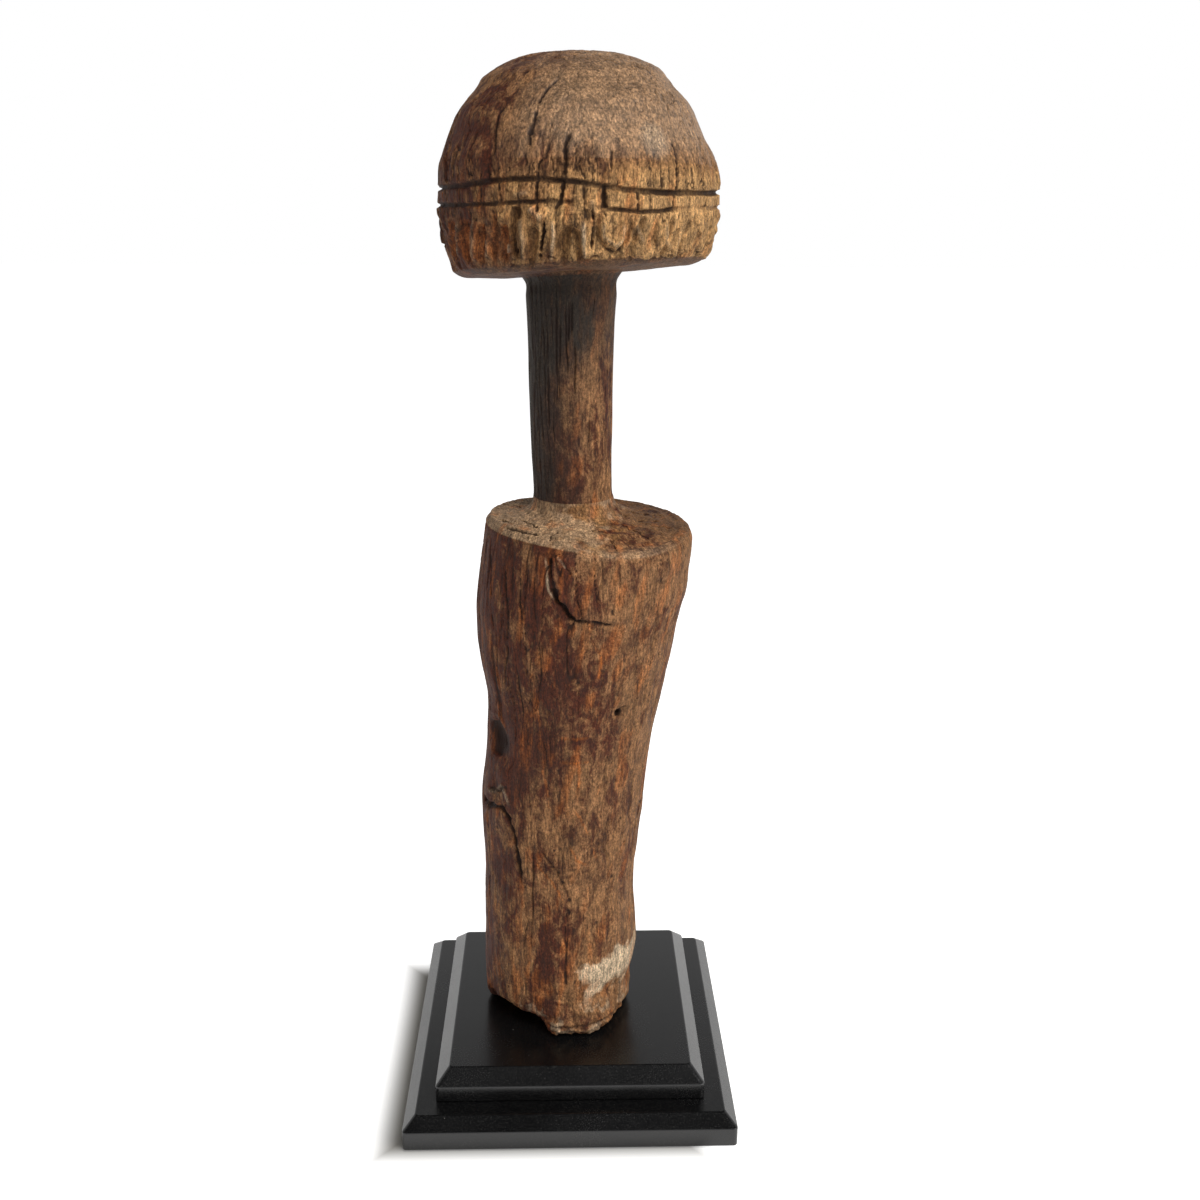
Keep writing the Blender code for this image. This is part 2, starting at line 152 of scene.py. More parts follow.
def through(knots, values, places):
    """Reads the smooth curve through the values at the knots, at each of the places."""
    values = np.asarray(values, float)
    slopes = np.gradient(values, knots, axis=0)
    index = np.clip(np.searchsorted(knots, places) - 1, 0, len(knots) - 2)
    span = (knots[index + 1] - knots[index])[:, None]
    part = (places - knots[index])[:, None] / span
    square, cube = part**2, part**3
    return (
        (2 * cube - 3 * square + 1) * values[index]
        + (cube - 2 * square + part) * span * slopes[index]
        + (3 * square - 2 * cube) * values[index + 1]
        + (cube - square) * span * slopes[index + 1]
    )


# Large odd numbers that keep the corners of the noise apart.
AXIS_FACTORS = (374761393, 668265263, 1442695041)


def scramble(number):
    """A repeatable value from -1 to 1 for each whole number."""
    number = (number ^ (number >> np.uint32(13))) * np.uint32(1274126177)
    number = (number ^ (number >> np.uint32(16))) * np.uint32(2246822519)
    number ^= number >> np.uint32(15)
    return number.astype(np.float32) * np.float32(2 / 4294967295) - 1


def grain(points, across, along, seed, octaves=2):
    """Smooth noise over the points, with its lumps this wide across the wood and this long up it."""
    total, weight = 0.0, 0.0
    for octave in range(octaves):
        share = 0.5**octave
        corners, eases = [], []
        for axis, (size, factor) in enumerate(zip((across, across, along), AXIS_FACTORS)):
            place = points[..., axis] / (size * share)
            floor = np.floor(place)
            part = (place - floor).astype(np.float32)
            first = floor.astype(np.int64).astype(np.uint32) * np.uint32(factor)
            corners.append((first, first + np.uint32(factor)))
            eases.append(part**3 * (part * (part * 6 - 15) + 10))
        start = np.uint32((seed * 97531 + octave * 7919) & 0xFFFFFFFF)
        planes = []
        for level in corners[2]:
            rows = []
            for row in corners[1]:
                base = level + row + start
                left, right = scramble(base + corners[0][0]), scramble(base + corners[0][1])
                rows.append(left + (right - left) * eases[0])
            planes.append(rows[0] + (rows[1] - rows[0]) * eases[1])
        total = total + share * (planes[0] + (planes[1] - planes[0]) * eases[2])
        weight += share
    return total / weight


def thinned(share, blunt):
    """1 along a run, dying away over this share of it at both ends."""
    return np.minimum(smooth(0, blunt, share + 0.02), smooth(0, blunt, 1.02 - share))


ZONES = {name: number for number, (name, _, _) in enumerate(OUTLINE)}
HEAD = ("skirt", "dome")
TRUNK = ("body", "neck")
# Masks painted on the skin. Besides the wood's own colours they carry painted light and shade: painted shade
# in the cuts and on the shaded neck, and painted light, highlights and sheen among tan, gold, pale and
# polish.
MASKS = ("hollow", "tan", "smoke", "pale", "gold", "polish", "ember")
# A place on the sides above this height is on the head.
HEAD_STARTS = 371
ALL_ROUND = (0, FULL_TURN)


class Block:
    """The figure's skin before and after carving: a grid of rings by columns, in millimetres."""

    def __init__(self, columns):
        self.rings_from_outline(columns)
        self.fit_break()
        self.bevel_rim()
        self.face = self.facing(self.skin)
        self.cut = np.zeros(self.angle.shape)
        self.relief = np.zeros(self.angle.shape)
        self.masks = {name: np.zeros(self.angle.shape) for name in MASKS}
        self.wander = np.stack(
            [0.55 * grain(self.skin, 5.0, 9.0, seed, 2) for seed in (3, 5)] + [np.zeros(self.angle.shape)],
            axis=-1,
        )
        self.wandering = self.skin + self.wander
        self.index_skin()

    def rings_from_outline(self, columns):
        stations = np.array([point for _, _, points in OUTLINE for point in points], float)
        half = (stations[:, 2] - stations[:, 1]) / 2
        steps = np.hypot(np.diff(stations[:, 0]), np.diff(half))
        knots = np.concatenate([[0], np.cumsum(steps)])
        places, zones, first = [], [], 0
        for number, (_, gap, points) in enumerate(OUTLINE):
            last = min(first + len(points), len(knots) - 1)
            count = max(2, round((knots[last] - knots[first]) / gap))
            places.append(np.linspace(knots[first], knots[last], count, endpoint=False))
            zones += [number] * count
            first = last
        places = np.concatenate(places + [knots[-1:]])
        self.zone = np.array(zones + [zones[-1]])
        height, left, right, tip_x, tip_y = through(knots, stations, places).T[:, :, None]
        turn = np.arange(columns) * FULL_TURN / columns
        self.angle = np.broadcast_to(turn, (len(places), columns))
        across = (left + right) / 2 + (right - left) / 2 * np.cos(turn)
        depth = DEPTH_SHARE * (right - left) / 2 * np.sin(turn)
        rise = height + tip_x * (across - TILT_AXIS) + tip_y * depth
        self.skin = np.stack([across, depth, FOOT + rise], axis=-1)
        self.centre = np.broadcast_to((left + right) / 2, self.angle.shape)
        self.half = np.broadcast_to((right - left) / 2, self.angle.shape)

    def fit_break(self):
        """Lifts the rotted front left edge of the foot, and eases the body above it."""
        away = np.abs(turned_by(self.angle, BREAK_ANGLE))
        lift = BREAK_HEIGHT * (1 - smooth(BREAK_FLAT, BREAK_END, away))
        foot = self.zone_is("foot")
        share = self.share_of("body")
        rise = self.skin[..., 2] - FOOT
        outer = smooth(0.45, 0.95, share)
        body = lift + rise * (BREAK_BLEND - lift) / BREAK_BLEND
        lifted = np.where(foot, rise + lift * outer, np.where(rise < BREAK_BLEND, body, rise))
        below = self.zone[:, None] <= ZONES["body"]
        self.skin[..., 2] = FOOT + np.where(below, lifted, rise)
        # What is left of the foot's front swells out into a blunt toe.
        toe = smooth(LOBE_START - 0.12, LOBE_START + 0.16, self.angle)
        toe *= 1 - smooth(LOBE_END - 0.3, LOBE_END + 0.12, self.angle)
        toe *= np.where(foot, smooth(0.35, 0.95, share), 1 - smooth(3, 20, rise)) * below
        self.skin[..., 0] += LOBE_REACH * toe * np.cos(self.angle)
        self.skin[..., 1] += LOBE_REACH * toe * np.sin(self.angle)

    def bevel_rim(self):
        """Drops the outer edge of the shoulder at the front right, where it has worn to a slope."""
        front = bell(0, BEVEL_SPREAD, turned_by(self.angle, BEVEL_ANGLE))
        rise = self.skin[..., 2] - FOOT
        share = self.share_of("shoulder")
        edge = np.where(self.zone_is("shoulder"), smooth(0.66, 0.9, share), smooth(222, 236, rise))
        edge *= self.zone_is("body", "shoulder")
        self.skin[..., 2] -= BEVEL_DROP * front * edge

    def share_of(self, name):
        """Each ring's half width, as a share of its half width where this zone starts."""
        return self.half / self.half[np.argmax(self.zone == ZONES[name])][0]

    def grain(self, names, across, along, seed, octaves=2):
        """Noise over some zones of the skin, and nothing elsewhere."""
        made = np.zeros(self.angle.shape)
        here = np.isin(self.zone, [ZONES[name] for name in names])
        made[here] = grain(self.skin[here], across, along, seed, octaves)
        return made

    def zone_is(self, *names):
        numbers = [ZONES[name] for name in names]
        return np.isin(self.zone, numbers)[:, None] & np.ones(self.angle.shape, bool)

    @staticmethod
    def facing(skin):
        """The direction that each point of the skin faces."""
        up = np.gradient(skin, axis=0)
        round_it = np.roll(skin, -1, axis=1) - np.roll(skin, 1, axis=1)
        face = np.cross(round_it, up)
        return face / np.maximum(np.linalg.norm(face, axis=-1, keepdims=True), 1e-9)

    def settle(self):
        """Makes the broad shape so far the new skin, so that the finer work follows it."""
        self.skin = self.skin + self.face * (self.relief - self.cut)[..., None]
        self.face = self.facing(self.skin)
        self.cut = np.zeros(self.angle.shape)
        self.relief = np.zeros(self.angle.shape)
        self.wandering = self.skin + self.wander
        self.index_skin()

    def index_skin(self):
        """Notes where each ring and the front of the skin lie, so that places are found quickly."""
        self.low, self.high = self.wandering.min(axis=1), self.wandering.max(axis=1)
        seen = self.face[..., 1] < -0.02
        self.front_points = self.skin[seen][::2]
        self.sides = {names: np.nonzero(np.isin(self.zone, [ZONES[name] for name in names]))[0]
                      for names in (TRUNK, HEAD)}

    def front(self, across, height):
        """The point of the skin, seen from the front, at this distance across and this height."""
        points = self.front_points
        return points[np.argmin((points[:, 0] - across) ** 2 + (points[:, 2] - height) ** 2)]

    def around(self, angle, height):
        """The point of the skin's sides at this angle and height."""
        rings = self.sides[HEAD if height > HEAD_STARTS else TRUNK]
        column = round(angle / FULL_TURN * self.angle.shape[1]) % self.angle.shape[1]
        points = self.skin[rings, column]
        return points[np.argmin(np.abs(points[:, 2] - height))]

    def on_top(self, across, depth):
        """The point of the shoulder's flat top at this distance across and back."""
        points = self.skin[self.zone == ZONES["shoulder"]].reshape(-1, 3)
        return points[np.argmin((points[:, 0] - across) ** 2 + (points[:, 1] - depth) ** 2)]

    def traced(self, run, rng, step=4.0, sway=0.35):
        """A run of places on the front, as points that step sideways with the fibres."""
        return jagged([self.front(*place) for place in run], rng, step, sway)

    def mark(self, mask, amount, where=...):
        """Raises a mask to this amount where it is less."""
        values = self.masks[mask]
        values[where] = np.maximum(values[where], amount)

    def deepen(self, amount, where=...):
        """Cuts to this depth where the skin isn't cut as deep."""
        self.cut[where] = np.maximum(self.cut[where], amount)

    def away(self, middle, reach, tall):
        """How far each point is from a place, in reaches that are this much taller than wide."""
        return (self.wandering - middle) / np.array([reach, reach, reach * tall])

    def near(self, points, reach):
        """The grid points within reach of a run of points, and their distance and share along it."""
        low, high = points.min(axis=0) - reach, points.max(axis=0) + reach
        rings = np.nonzero((self.high >= low).all(axis=1) & (self.low <= high).all(axis=1))[0]
        box = ((self.wandering[rings] >= low) & (self.wandering[rings] <= high)).all(axis=-1)
        ring, column = np.nonzero(box)
        where = (rings[ring], column)
        here = self.wandering[where]
        best = np.full(len(here), np.inf)
        share = np.zeros(len(here))
        lengths = np.linalg.norm(np.diff(points, axis=0), axis=1)
        total = max(lengths.sum(), 1e-9)
        gone = 0.0
        for start, end, length in zip(points[:-1], points[1:], lengths):
            way = (end - start) / max(length, 1e-9)
            along = np.clip((here - start) @ way, 0, length)
            apart = np.linalg.norm(here - start - along[:, None] * way, axis=1)
            closer = apart < best
            best = np.where(closer, apart, best)
            share = np.where(closer, (gone + along) / total, share)
            gone += length
        return where, best, share

    def stroke(self, points, width, depth, dark=1.0, blunt=0.12, mask=None, soft=1.5):
        """Cuts a crack or gouge along the points: half this wide, this deep, thin at both ends, and paints
        shade into it, this dark.
        """
        points = np.asarray(points, float)
        where, apart, share = self.near(points, 3 * width)
        total = np.linalg.norm(np.diff(points, axis=0), axis=1).sum()
        taper = thinned(share, blunt)
        gone = share * total / max(1.0, width) ** 2
        uneven = 1 + 0.38 * np.sin(gone * 1.9 + width * 40) * np.sin(gone * 0.73 + depth * 9)
        wide = width * (0.35 + 0.65 * taper) * uneven
        bowl = np.clip(1 - (apart / wide) ** 2, 0, 1) ** soft
        self.deepen(depth * taper * bowl, where)
        self.mark("hollow", dark * taper * (1 - smooth(0.35, 1.25, apart / wide)), where)
        if mask:
            self.mark(mask, taper * (1 - smooth(0.5, 1.8, apart / wide)), where)

    def ridge(self, points, width, height, bright=0.0):
        """Raises a soft-sided rib along the points, and paints a highlight along its crest, this bright."""
        points = np.asarray(points, float)
        where, apart, share = self.near(points, 2.5 * width)
        crest = thinned(share, 0.2) * bell(0, width, apart)
        self.relief[where] += height * crest
        self.mark("pale", bright * crest, where)

    def checks(self, names, across, along, seed, width, depth, dark, cover=0.0, top=500.0):
        """Opens a web of fine wandering checks over some zones up to a height, in patches, and paints shade
        into them.
        """
        web = np.abs(self.grain(names, across, along, seed, 2))
        cloud = self.grain(names, across * 5, along * 1.2, seed + 1, 2)
        where = smooth(cover - 0.25, cover + 0.25, cloud)
        where = where * np.isin(self.zone, [ZONES[name] for name in names])[:, None]
        where = where * (1 - smooth(top - 6, top, self.skin[..., 2]))
        line = (1 - smooth(0, width, web)) * where
        self.deepen(depth * line)
        self.mark("hollow", dark * line)

    def patch(self, mask, middle, reach, strength, tall=1.0):
        """Marks a soft-edged patch round a point."""
        apart = np.linalg.norm(self.away(middle, reach, tall), axis=-1)
        self.mark(mask, strength * (1 - smooth(0.55, 1.15, apart)))

    def dent(self, middle, reach, depth, dark=0.0, tall=1.0):
        """Presses a soft hollow, or with a negative depth a swelling, round a point, and paints shade into
        it, this dark.
        """
        bowl = np.exp(-((self.away(middle, reach, tall) ** 2).sum(axis=-1)))
        self.relief -= depth * bowl
        self.mark("hollow", dark * smooth(0.15, 0.8, bowl))


# ---------------------------------------------------------------------------
# Cuts, in millimetres: half the width, the depth, how dark the painted shade in the hollow is,
# and the run of the cut on the front, across and above the floor.
# ---------------------------------------------------------------------------

DOME_CRACKS = (
    (0.75, 1.5, 1.0, ((-3.4, 449.1), (-7, 445.5), (-9.4, 441.6), (-11.5, 436), (-13.3, 432.9),
                      (-13.7, 429.4), (-14.3, 423.5))),
    (1.15, 1.5, 1.0, ((-12.4, 434.3), (-13.6, 431), (-13.9, 428))),
    (0.65, 1.2, 1.0, ((-22.6, 439.4), (-25.5, 435.1), (-26.6, 430.2), (-28, 423.2), (-29.9, 411))),
    (0.55, 1.0, 0.9, ((-5.6, 433.2), (-7, 426.6), (-8.1, 423.1), (-8.8, 419.7))),
    (0.6, 1.1, 1.0, ((-8.8, 421), (-11, 418.6), (-11.3, 411))),
    (1.05, 2.1, 1.0, ((1, 429.7), (-1.2, 424.9), (-1.5, 419.7), (-2.2, 412.5), (-3.3, 405.9),
                      (-5.9, 401.3))),
    (0.3, 0.6, 0.7, ((3.5, 433.5), (2.5, 424.2))),
    (0.3, 0.6, 0.8, ((-17.3, 423.8), (-18, 411.5))),
    (0.4, 0.7, 0.8, ((-35.4, 443.5), (-37.2, 429.8), (-40.5, 416))),
    (0.45, 0.7, 0.9, ((-17, 450.2), (-14.3, 450.8))),
    (0.65, 1.2, 1.0, ((15.5, 424.3), (14.8, 418.1), (14.9, 411))),
    (0.4, 0.8, 0.9, ((27.2, 425.2), (30.2, 418.3), (29.2, 409.5))),
    (0.75, 1.5, 1.0, ((37.8, 427.2), (39.7, 423.7), (40.1, 420.9), (41.3, 416.6), (40.6, 408))),
    (0.8, 1.1, 0.9, ((34.5, 409), (35.3, 414.5))),
    (0.9, 1.3, 1.0, ((49.6, 428.5), (50.8, 428.1))),
    (0.3, 0.6, 0.8, ((50.2, 428.5), (50.8, 421))),
    (0.5, 0.9, 0.9, ((50.6, 414.5), (51.6, 408.5))),
    (0.35, 0.6, 0.8, ((21.5, 420.5), (22.5, 409.5))),
    (0.4, 0.7, 0.8, ((8.2, 419), (7.6, 411))),
)

SKIRT_GOUGES = (
    (2.6, 1.9, 0.30, ((-45, 398), (-46, 390), (-44.5, 381))),
    (2.4, 2.0, 0.25, ((-38.5, 399), (-40, 391), (-38.5, 381))),
    (2.7, 2.3, 0.25, ((-31.5, 397.5), (-34, 391), (-33.2, 381))),
    (1.6, 1.6, 0.45, ((-27.5, 403), (-28, 396), (-29, 388), (-28, 382))),
    (2.6, 2.0, 0.25, ((-23.6, 398), (-25.2, 391), (-24.6, 382))),
    (1.2, 2.3, 1.00, ((-17.9, 405), (-20.2, 400), (-20.6, 394), (-19.2, 383))),
    (2.0, 2.6, 0.70, ((-19.8, 403.5), (-20.6, 398.5))),
    (2.9, 2.6, 0.35, ((-14.2, 397.5), (-14.6, 390), (-14.0, 381))),
    (0.7, 2.1, 1.00, ((-8.9, 400.8), (-10.0, 394.6), (-11.0, 383))),
    (2.4, 2.7, 0.45, ((0.7, 398.5), (-1.8, 393), (-2.6, 388), (-2.4, 382))),
    (1.6, 1.9, 0.40, ((0.9, 398.2), (2.6, 392.5), (3.6, 386), (3.6, 382.5))),
    (0.6, 1.6, 0.90, ((8.4, 405), (8.8, 397), (8.3, 390), (8.6, 383))),
    (1.3, 1.4, 0.45, ((10.6, 402.5), (10.4, 394), (12.6, 388.5), (16.8, 386.4), (20.6, 389.4),
                      (22.3, 395), (22.6, 401))),
    (0.6, 1.2, 0.90, ((13.5, 388.4), (16.8, 386.6), (20.2, 388.6))),
    (0.5, 0.8, 0.60, ((16.6, 401), (17.4, 392))),
    (1.5, 1.5, 0.50, ((28.5, 401), (25.5, 395), (22.8, 388.5), (22.5, 383.5))),
    (1.4, 1.9, 0.85, ((34.6, 401.4), (33.2, 396.5), (32.2, 391.5), (31.6, 384))),
    (1.3, 1.2, 0.40, ((38.6, 401.5), (38.0, 393), (34.8, 386.5), (33.8, 383.6))),
    (1.3, 1.3, 0.40, ((46.9, 401), (45.0, 393.5), (42.4, 388), (41.6, 383.6))),
    (1.1, 1.1, 0.40, ((47.2, 401), (50.0, 393), (49.8, 385.5))),
    (1.1, 1.1, 0.35, ((56.0, 400.5), (55.0, 391), (54.0, 386))),
)

# How much wider and deeper the gouges are cut, and how much higher the ribs stand.
SKIRT_SPREAD, SKIRT_BITE, RIB_LIFT = 1.1, 1.35, 1.6
# The wide gouges left of here show fresh wood.
EMBER_EDGE = -21
# Ribs between the gouges: half width, height, brightness of the painted highlight along the crest, and run.
SKIRT_RIBS = (
    (2.2, 1.5, 0.45, ((-14.8, 403.6), (-12.2, 401.2), (-8.9, 398.6))),
    (1.1, 1.0, 0.75, ((4.9, 399.5), (5.6, 392), (5.6, 384))),
    (1.0, 0.9, 0.55, ((-6.4, 400), (-5.9, 392), (-6.6, 383))),
    (1.3, 1.0, 0.60, ((-22.8, 390.5), (-22.3, 386.5))),
    (1.2, 0.9, 0.45, ((12.6, 400.5), (13.2, 393), (16.6, 390), (19.7, 392.5), (20.6, 400))),
    (1.2, 0.9, 0.45, ((24.8, 399), (26.8, 392), (28, 385))),
    (1.2, 0.9, 0.35, ((-42, 399), (-42.5, 383))),
    (1.2, 0.9, 0.35, ((-36, 400), (-36.6, 383))),
    (1.0, 0.9, 0.35, ((-29.8, 401), (-31, 392), (-30.6, 383))),
    (1.1, 1.0, 0.40, ((-17.4, 401), (-17.0, 391), (-17, 383))),
    (1.2, 0.9, 0.45, ((36.2, 400), (36.4, 392), (38.2, 384.5))),
    (1.2, 0.9, 0.35, ((42.6, 400), (41.4, 391), (38.8, 385))),
    (1.2, 0.8, 0.35, ((51.0, 401), (47.4, 393), (46.2, 386))),
    (1.5, 0.9, 0.30, ((0.8, 404.4), (1.0, 400.6))),
    (1.4, 0.8, 0.30, ((-20.8, 407.5), (-14, 408.4))),
    (1.5, 0.8, 0.35, ((8.5, 407), (9.2, 400))),
)

BAND_CRACKS = (
    (0.5, 0.9, 0.8, -49, 408, -49, 404), (0.6, 1.1, 0.9, -41.7, 410, -41.5, 403.5),
    (0.6, 1.1, 0.9, -32.8, 411.5, -33, 404), (0.7, 1.3, 0.9, -25.6, 412.5, -24.8, 404.6),
    (0.5, 0.9, 0.8, -19, 412.8, -18.6, 404.8), (0.8, 1.6, 1.0, -11.9, 413, -11.6, 401),
    (0.6, 1.2, 0.9, 5.0, 411.8, 6.4, 399), (1.3, 2.2, 1.0, 12.6, 411.2, 12.2, 402.4),
    (0.5, 1.0, 0.8, -7.6, 412.8, -8, 403), (0.45, 0.9, 0.8, 1.6, 412, 1.2, 403),
    (0.8, 1.6, 1.0, 24.9, 409.3, 25.9, 401.8), (0.45, 1.0, 0.9, 30.4, 408.7, 30.3, 402),
    (0.65, 1.3, 1.0, 40.0, 408.6, 38.8, 402.4), (0.4, 0.7, 0.7, 45.9, 408.4, 46, 402.9),
    (0.6, 1.1, 0.9, 53.1, 408.4, 53.3, 402.6),
)

# The two grooves round the head, as the height of each where it crosses the front.
UPPER_GROOVE = ((-62, 408.6), (-50, 409.7), (-42, 410.4), (-33, 411.6), (-24, 412.7), (-13, 413.1),
                (-6, 412.8), (2, 412.3), (11, 410.9), (19, 409.7), (28, 408.8), (36, 408.5),
                (45, 408.3), (60, 408.2), (70, 408.2))
LOWER_GROOVE = ((-62, 402.4), (-50, 403.2), (-42, 403.4), (-32, 403.9), (-23, 404.6), (-13, 405.1),
                (-6, 405.6), (3, 404.6), (12, 403.0), (19, 402.5), (27, 401.6), (35, 402.1),
                (41, 402.8), (50, 403), (60, 402.5), (70, 402.5))
GROOVE_TIP = -0.075
UPPER_BACK, LOWER_BACK = 408.3, 402.2

# Checks that rise from the upper groove, and worm pits in the body.
FINE_CHECKS, WORM_PITS = 150, 70

# Upright cracks of the head's sides: how many, their heights and lengths, half width, depth and darkness of
# their painted shade.
HEAD_CRACKS = (
    (60, (402, 409), (2, 6), 0.35, 0.6, 0.8),
    (90, (380, 401), (4, 14), 0.4, 0.7, 0.8),
    (60, (414, 446), (5, 22), 0.26, 0.4, 0.5),
)

# The same for the body and neck, with the angles between which they lie after the count.
TRUNK_CRACKS = (
    (70, (math.radians(-10), math.radians(250)), (50, 262), (15, 60), 0.5, 0.9, 0.9),
    (110, ALL_ROUND, (40, 266), (8, 34), 0.32, 0.42, 0.6),
    (26, (math.radians(180), math.radians(250)), (180, 268), (12, 40), 0.45, 0.7, 0.85),
    (46, ALL_ROUND, (284, 368), (10, 40), 0.42, 0.5, 0.7),
    (14, (math.radians(225), math.radians(275)), (300, 366), (20, 45), 0.6, 0.7, 0.9),
)

# The long shakes down the back, where the log dried and opened: angle, heights and half width.
BACK_SHAKES = ((1.35, 70, 262, 0.9), (1.95, 44, 190, 0.8), (0.62, 96, 236, 0.6))

BODY_CUTS = (
    (1.4, 2.8, 1.0, ((-7.4, 267.5), (-7.6, 262), (-7.3, 256), (-5.4, 251))),
    (1.9, 2.9, 1.0, ((-6.8, 254.5), (-4.6, 249.4), (-2.2, 246.6), (-0.4, 243.6), (1.4, 241.2))),
    (1.5, 2.6, 1.0, ((-0.2, 243), (2.6, 240.4), (7.6, 239.6))),
    (1.15, 2.1, 1.0, ((6.0, 240), (11, 239.1), (16.3, 237.6))),
    (1.1, 1.8, 1.0, ((15.2, 237.9), (17.0, 237.3))),
    (4.6, 2.4, 0.9, ((-33.8, 184), (-31.6, 178.5), (-31.6, 172), (-33, 167))),
    (2.2, 1.6, 1.0, ((-31.5, 185), (-28.6, 179.5), (-29.2, 172.5))),
    (1.7, 2.4, 1.0, ((19.6, 195.4), (21.6, 194.4))),
    (0.8, 1.2, 0.8, ((21.6, 196.6), (24.4, 197.6))),
    (0.8, 0.9, 0.5, ((-3.5, 266.6), (-1, 262.5), (1.4, 260))),
    (0.5, 0.6, 0.5, ((-0.8, 220), (1.6, 215), (3.8, 211.1))),
    (0.8, 0.8, 0.9, ((3.2, 212.2), (3.9, 210.8))),
    (1.8, 2.8, 1.0, ((-39.4, 141), (-36.9, 141.8), (-33.4, 144.2))),
    (1.5, 2.4, 1.0, ((-35.5, 143), (-30.7, 144.9), (-27.7, 141.5), (-25.7, 135.5), (-24.4, 129.5),
                      (-23.3, 122), (-22.6, 114), (-22.2, 109.5))),
    (1.2, 1.4, 0.8, ((-36.5, 150.5), (-31.2, 151.5), (-29.4, 156))),
    (0.35, 0.7, 0.8, ((-11.9, 182), (-10.6, 175), (-9.8, 168.4))),
    (0.3, 0.6, 0.7, ((-14.5, 120), (-13.6, 96), (-14.2, 78))),
    (0.9, 0.9, 0.5, ((-13.2, 128.6), (-6.6, 118.9), (-3.5, 111.1), (0.1, 103.1))),
    (0.9, 0.8, 0.4, ((11.3, 133.1), (16.7, 123.6), (17.7, 109.6))),
    (0.9, 0.8, 0.9, ((-3.5, 113.6), (-3.2, 111.4))),
    (0.9, 0.8, 0.9, ((-0.6, 104), (0.1, 101.6))),
    (0.9, 1.0, 1.0, ((-1.6, 97.8), (0.4, 96.4), (-0.7, 95.2))),
    (1.1, 1.0, 0.9, ((-2.4, 66), (-1.6, 62), (-1.9, 58.5))),
    (0.5, 0.8, 0.7, ((-2.4, 92), (-1.6, 78), (-2.2, 60))),
    (0.45, 0.9, 0.8, ((-1.3, 98), (-1.0, 82), (-1.5, 63.8))),
    (0.45, 0.6, 0.6, ((-21, 104), (-20, 88), (-22, 70))),
    (0.35, 0.5, 0.6, ((12, 104), (13, 92), (12.4, 80))),
    (0.7, 1.2, 0.9, ((-27, 262), (-26, 240), (-26.5, 222), (-28, 205))),
    (0.65, 1.1, 0.9, ((-20, 262), (-21, 247), (-19.5, 232))),
    (0.6, 1.0, 0.9, ((-33, 260), (-33.5, 246), (-32.6, 230))),
    (0.45, 0.8, 0.8, ((-14.5, 258), (-15, 246), (-14, 238))),
    (0.5, 0.7, 0.8, ((-33, 214), (-31, 200), (-32.5, 188))),
    (0.4, 0.6, 0.7, ((20, 262), (21, 252), (20, 244))),
)

# Bright lines where the surface has flaked, by half width, and raised lips beside the cuts with a painted
# highlight along them.
FLAKED_LINES = (
    (0.55, ((-6, 184.6), (2, 184.0), (8.4, 184.4))), (0.6, ((-4.6, 172.9), (2, 172.3), (9, 172.8))),
    (0.7, ((3.4, 172.4), (3.8, 166), (3.2, 158))), (0.4, ((-13.5, 205), (-12.5, 190), (-12.8, 176))),
    (0.4, ((-12, 176), (-10.5, 160), (-9, 148))), (0.45, ((9, 232), (14, 222), (12.5, 212))),
    (0.4, ((-16, 122), (-8, 112), (-2, 100))), (0.4, ((2, 150), (8, 138), (12.5, 122))),
    (0.45, ((-19, 70), (-20.5, 62), (-19.6, 54))), (0.4, ((-1, 132), (2.5, 124), (8, 120))),
)
LIPS_WITH_HIGHLIGHT = (
    (0.8, 0.35, 0.6, ((-9.4, 268), (-9.6, 260), (-8.6, 253), (-5.6, 247.5))),
    (0.7, 0.25, 0.45, ((-6, 268), (-3.5, 266), (-1, 262))),
    (1.3, 0.9, 0.45, ((-38, 148.5), (-33.5, 150.5), (-30.6, 155.5), (-28.4, 152), (-26.2, 146))),
    (1.2, 0.7, 0.25, ((-36.5, 186.5), (-31, 187.4), (-27.6, 182), (-27.4, 174))),
    (1.0, 0.8, 0.35, ((-27, 141), (-24.5, 133), (-22.6, 124))),
)

# Slits in the shoulder's top, by half width, depth and run across and back, and small pits.
SLITS = (
    (0.9, 1.7, ((-29, -12), (-26, -16), (-23.5, -18))), (1.0, 1.8, ((-20, -14), (-17, -20), (-13, -25))),
    (0.8, 1.4, ((-27, -23), (-20, -29), (-12, -33.5))), (0.4, 0.8, ((4, -27), (10, -26), (15, -23))),
    (0.7, 1.2, ((22, -13), (27, -18), (34, -22))), (0.6, 1.0, ((30, -8), (38, -10), (44, -8))),
    (0.5, 0.9, ((14, -24), (18, -31), (20, -37))), (0.5, 0.9, ((-4, -29), (-7, -33), (-8, -38))),
    (0.9, 1.5, ((-20, 8), (-26, 14), (-30, 18))), (0.8, 1.3, ((0, 22), (-2, 32), (-3, 40))),
    (0.8, 1.3, ((20, 16), (30, 24), (36, 28))), (0.6, 1.0, ((26, 3), (38, 6), (46, 6))),
    (0.6, 1.1, ((-18, 22), (-8, 29), (6, 32))), (0.5, 0.9, ((10, 26), (22, 34), (24, 37))),
)
PITS = (
    (24, -3, 1.0), (28, 2, 0.9), (31, -5, 1.1), (38, -3, 0.9), (22, 9, 0.9), (34, 4, 0.8),
    (-18, -6, 0.8), (-22, 2, 0.9), (10, -24, 0.7), (-9, -26, 0.7), (2, 27, 0.9),
)
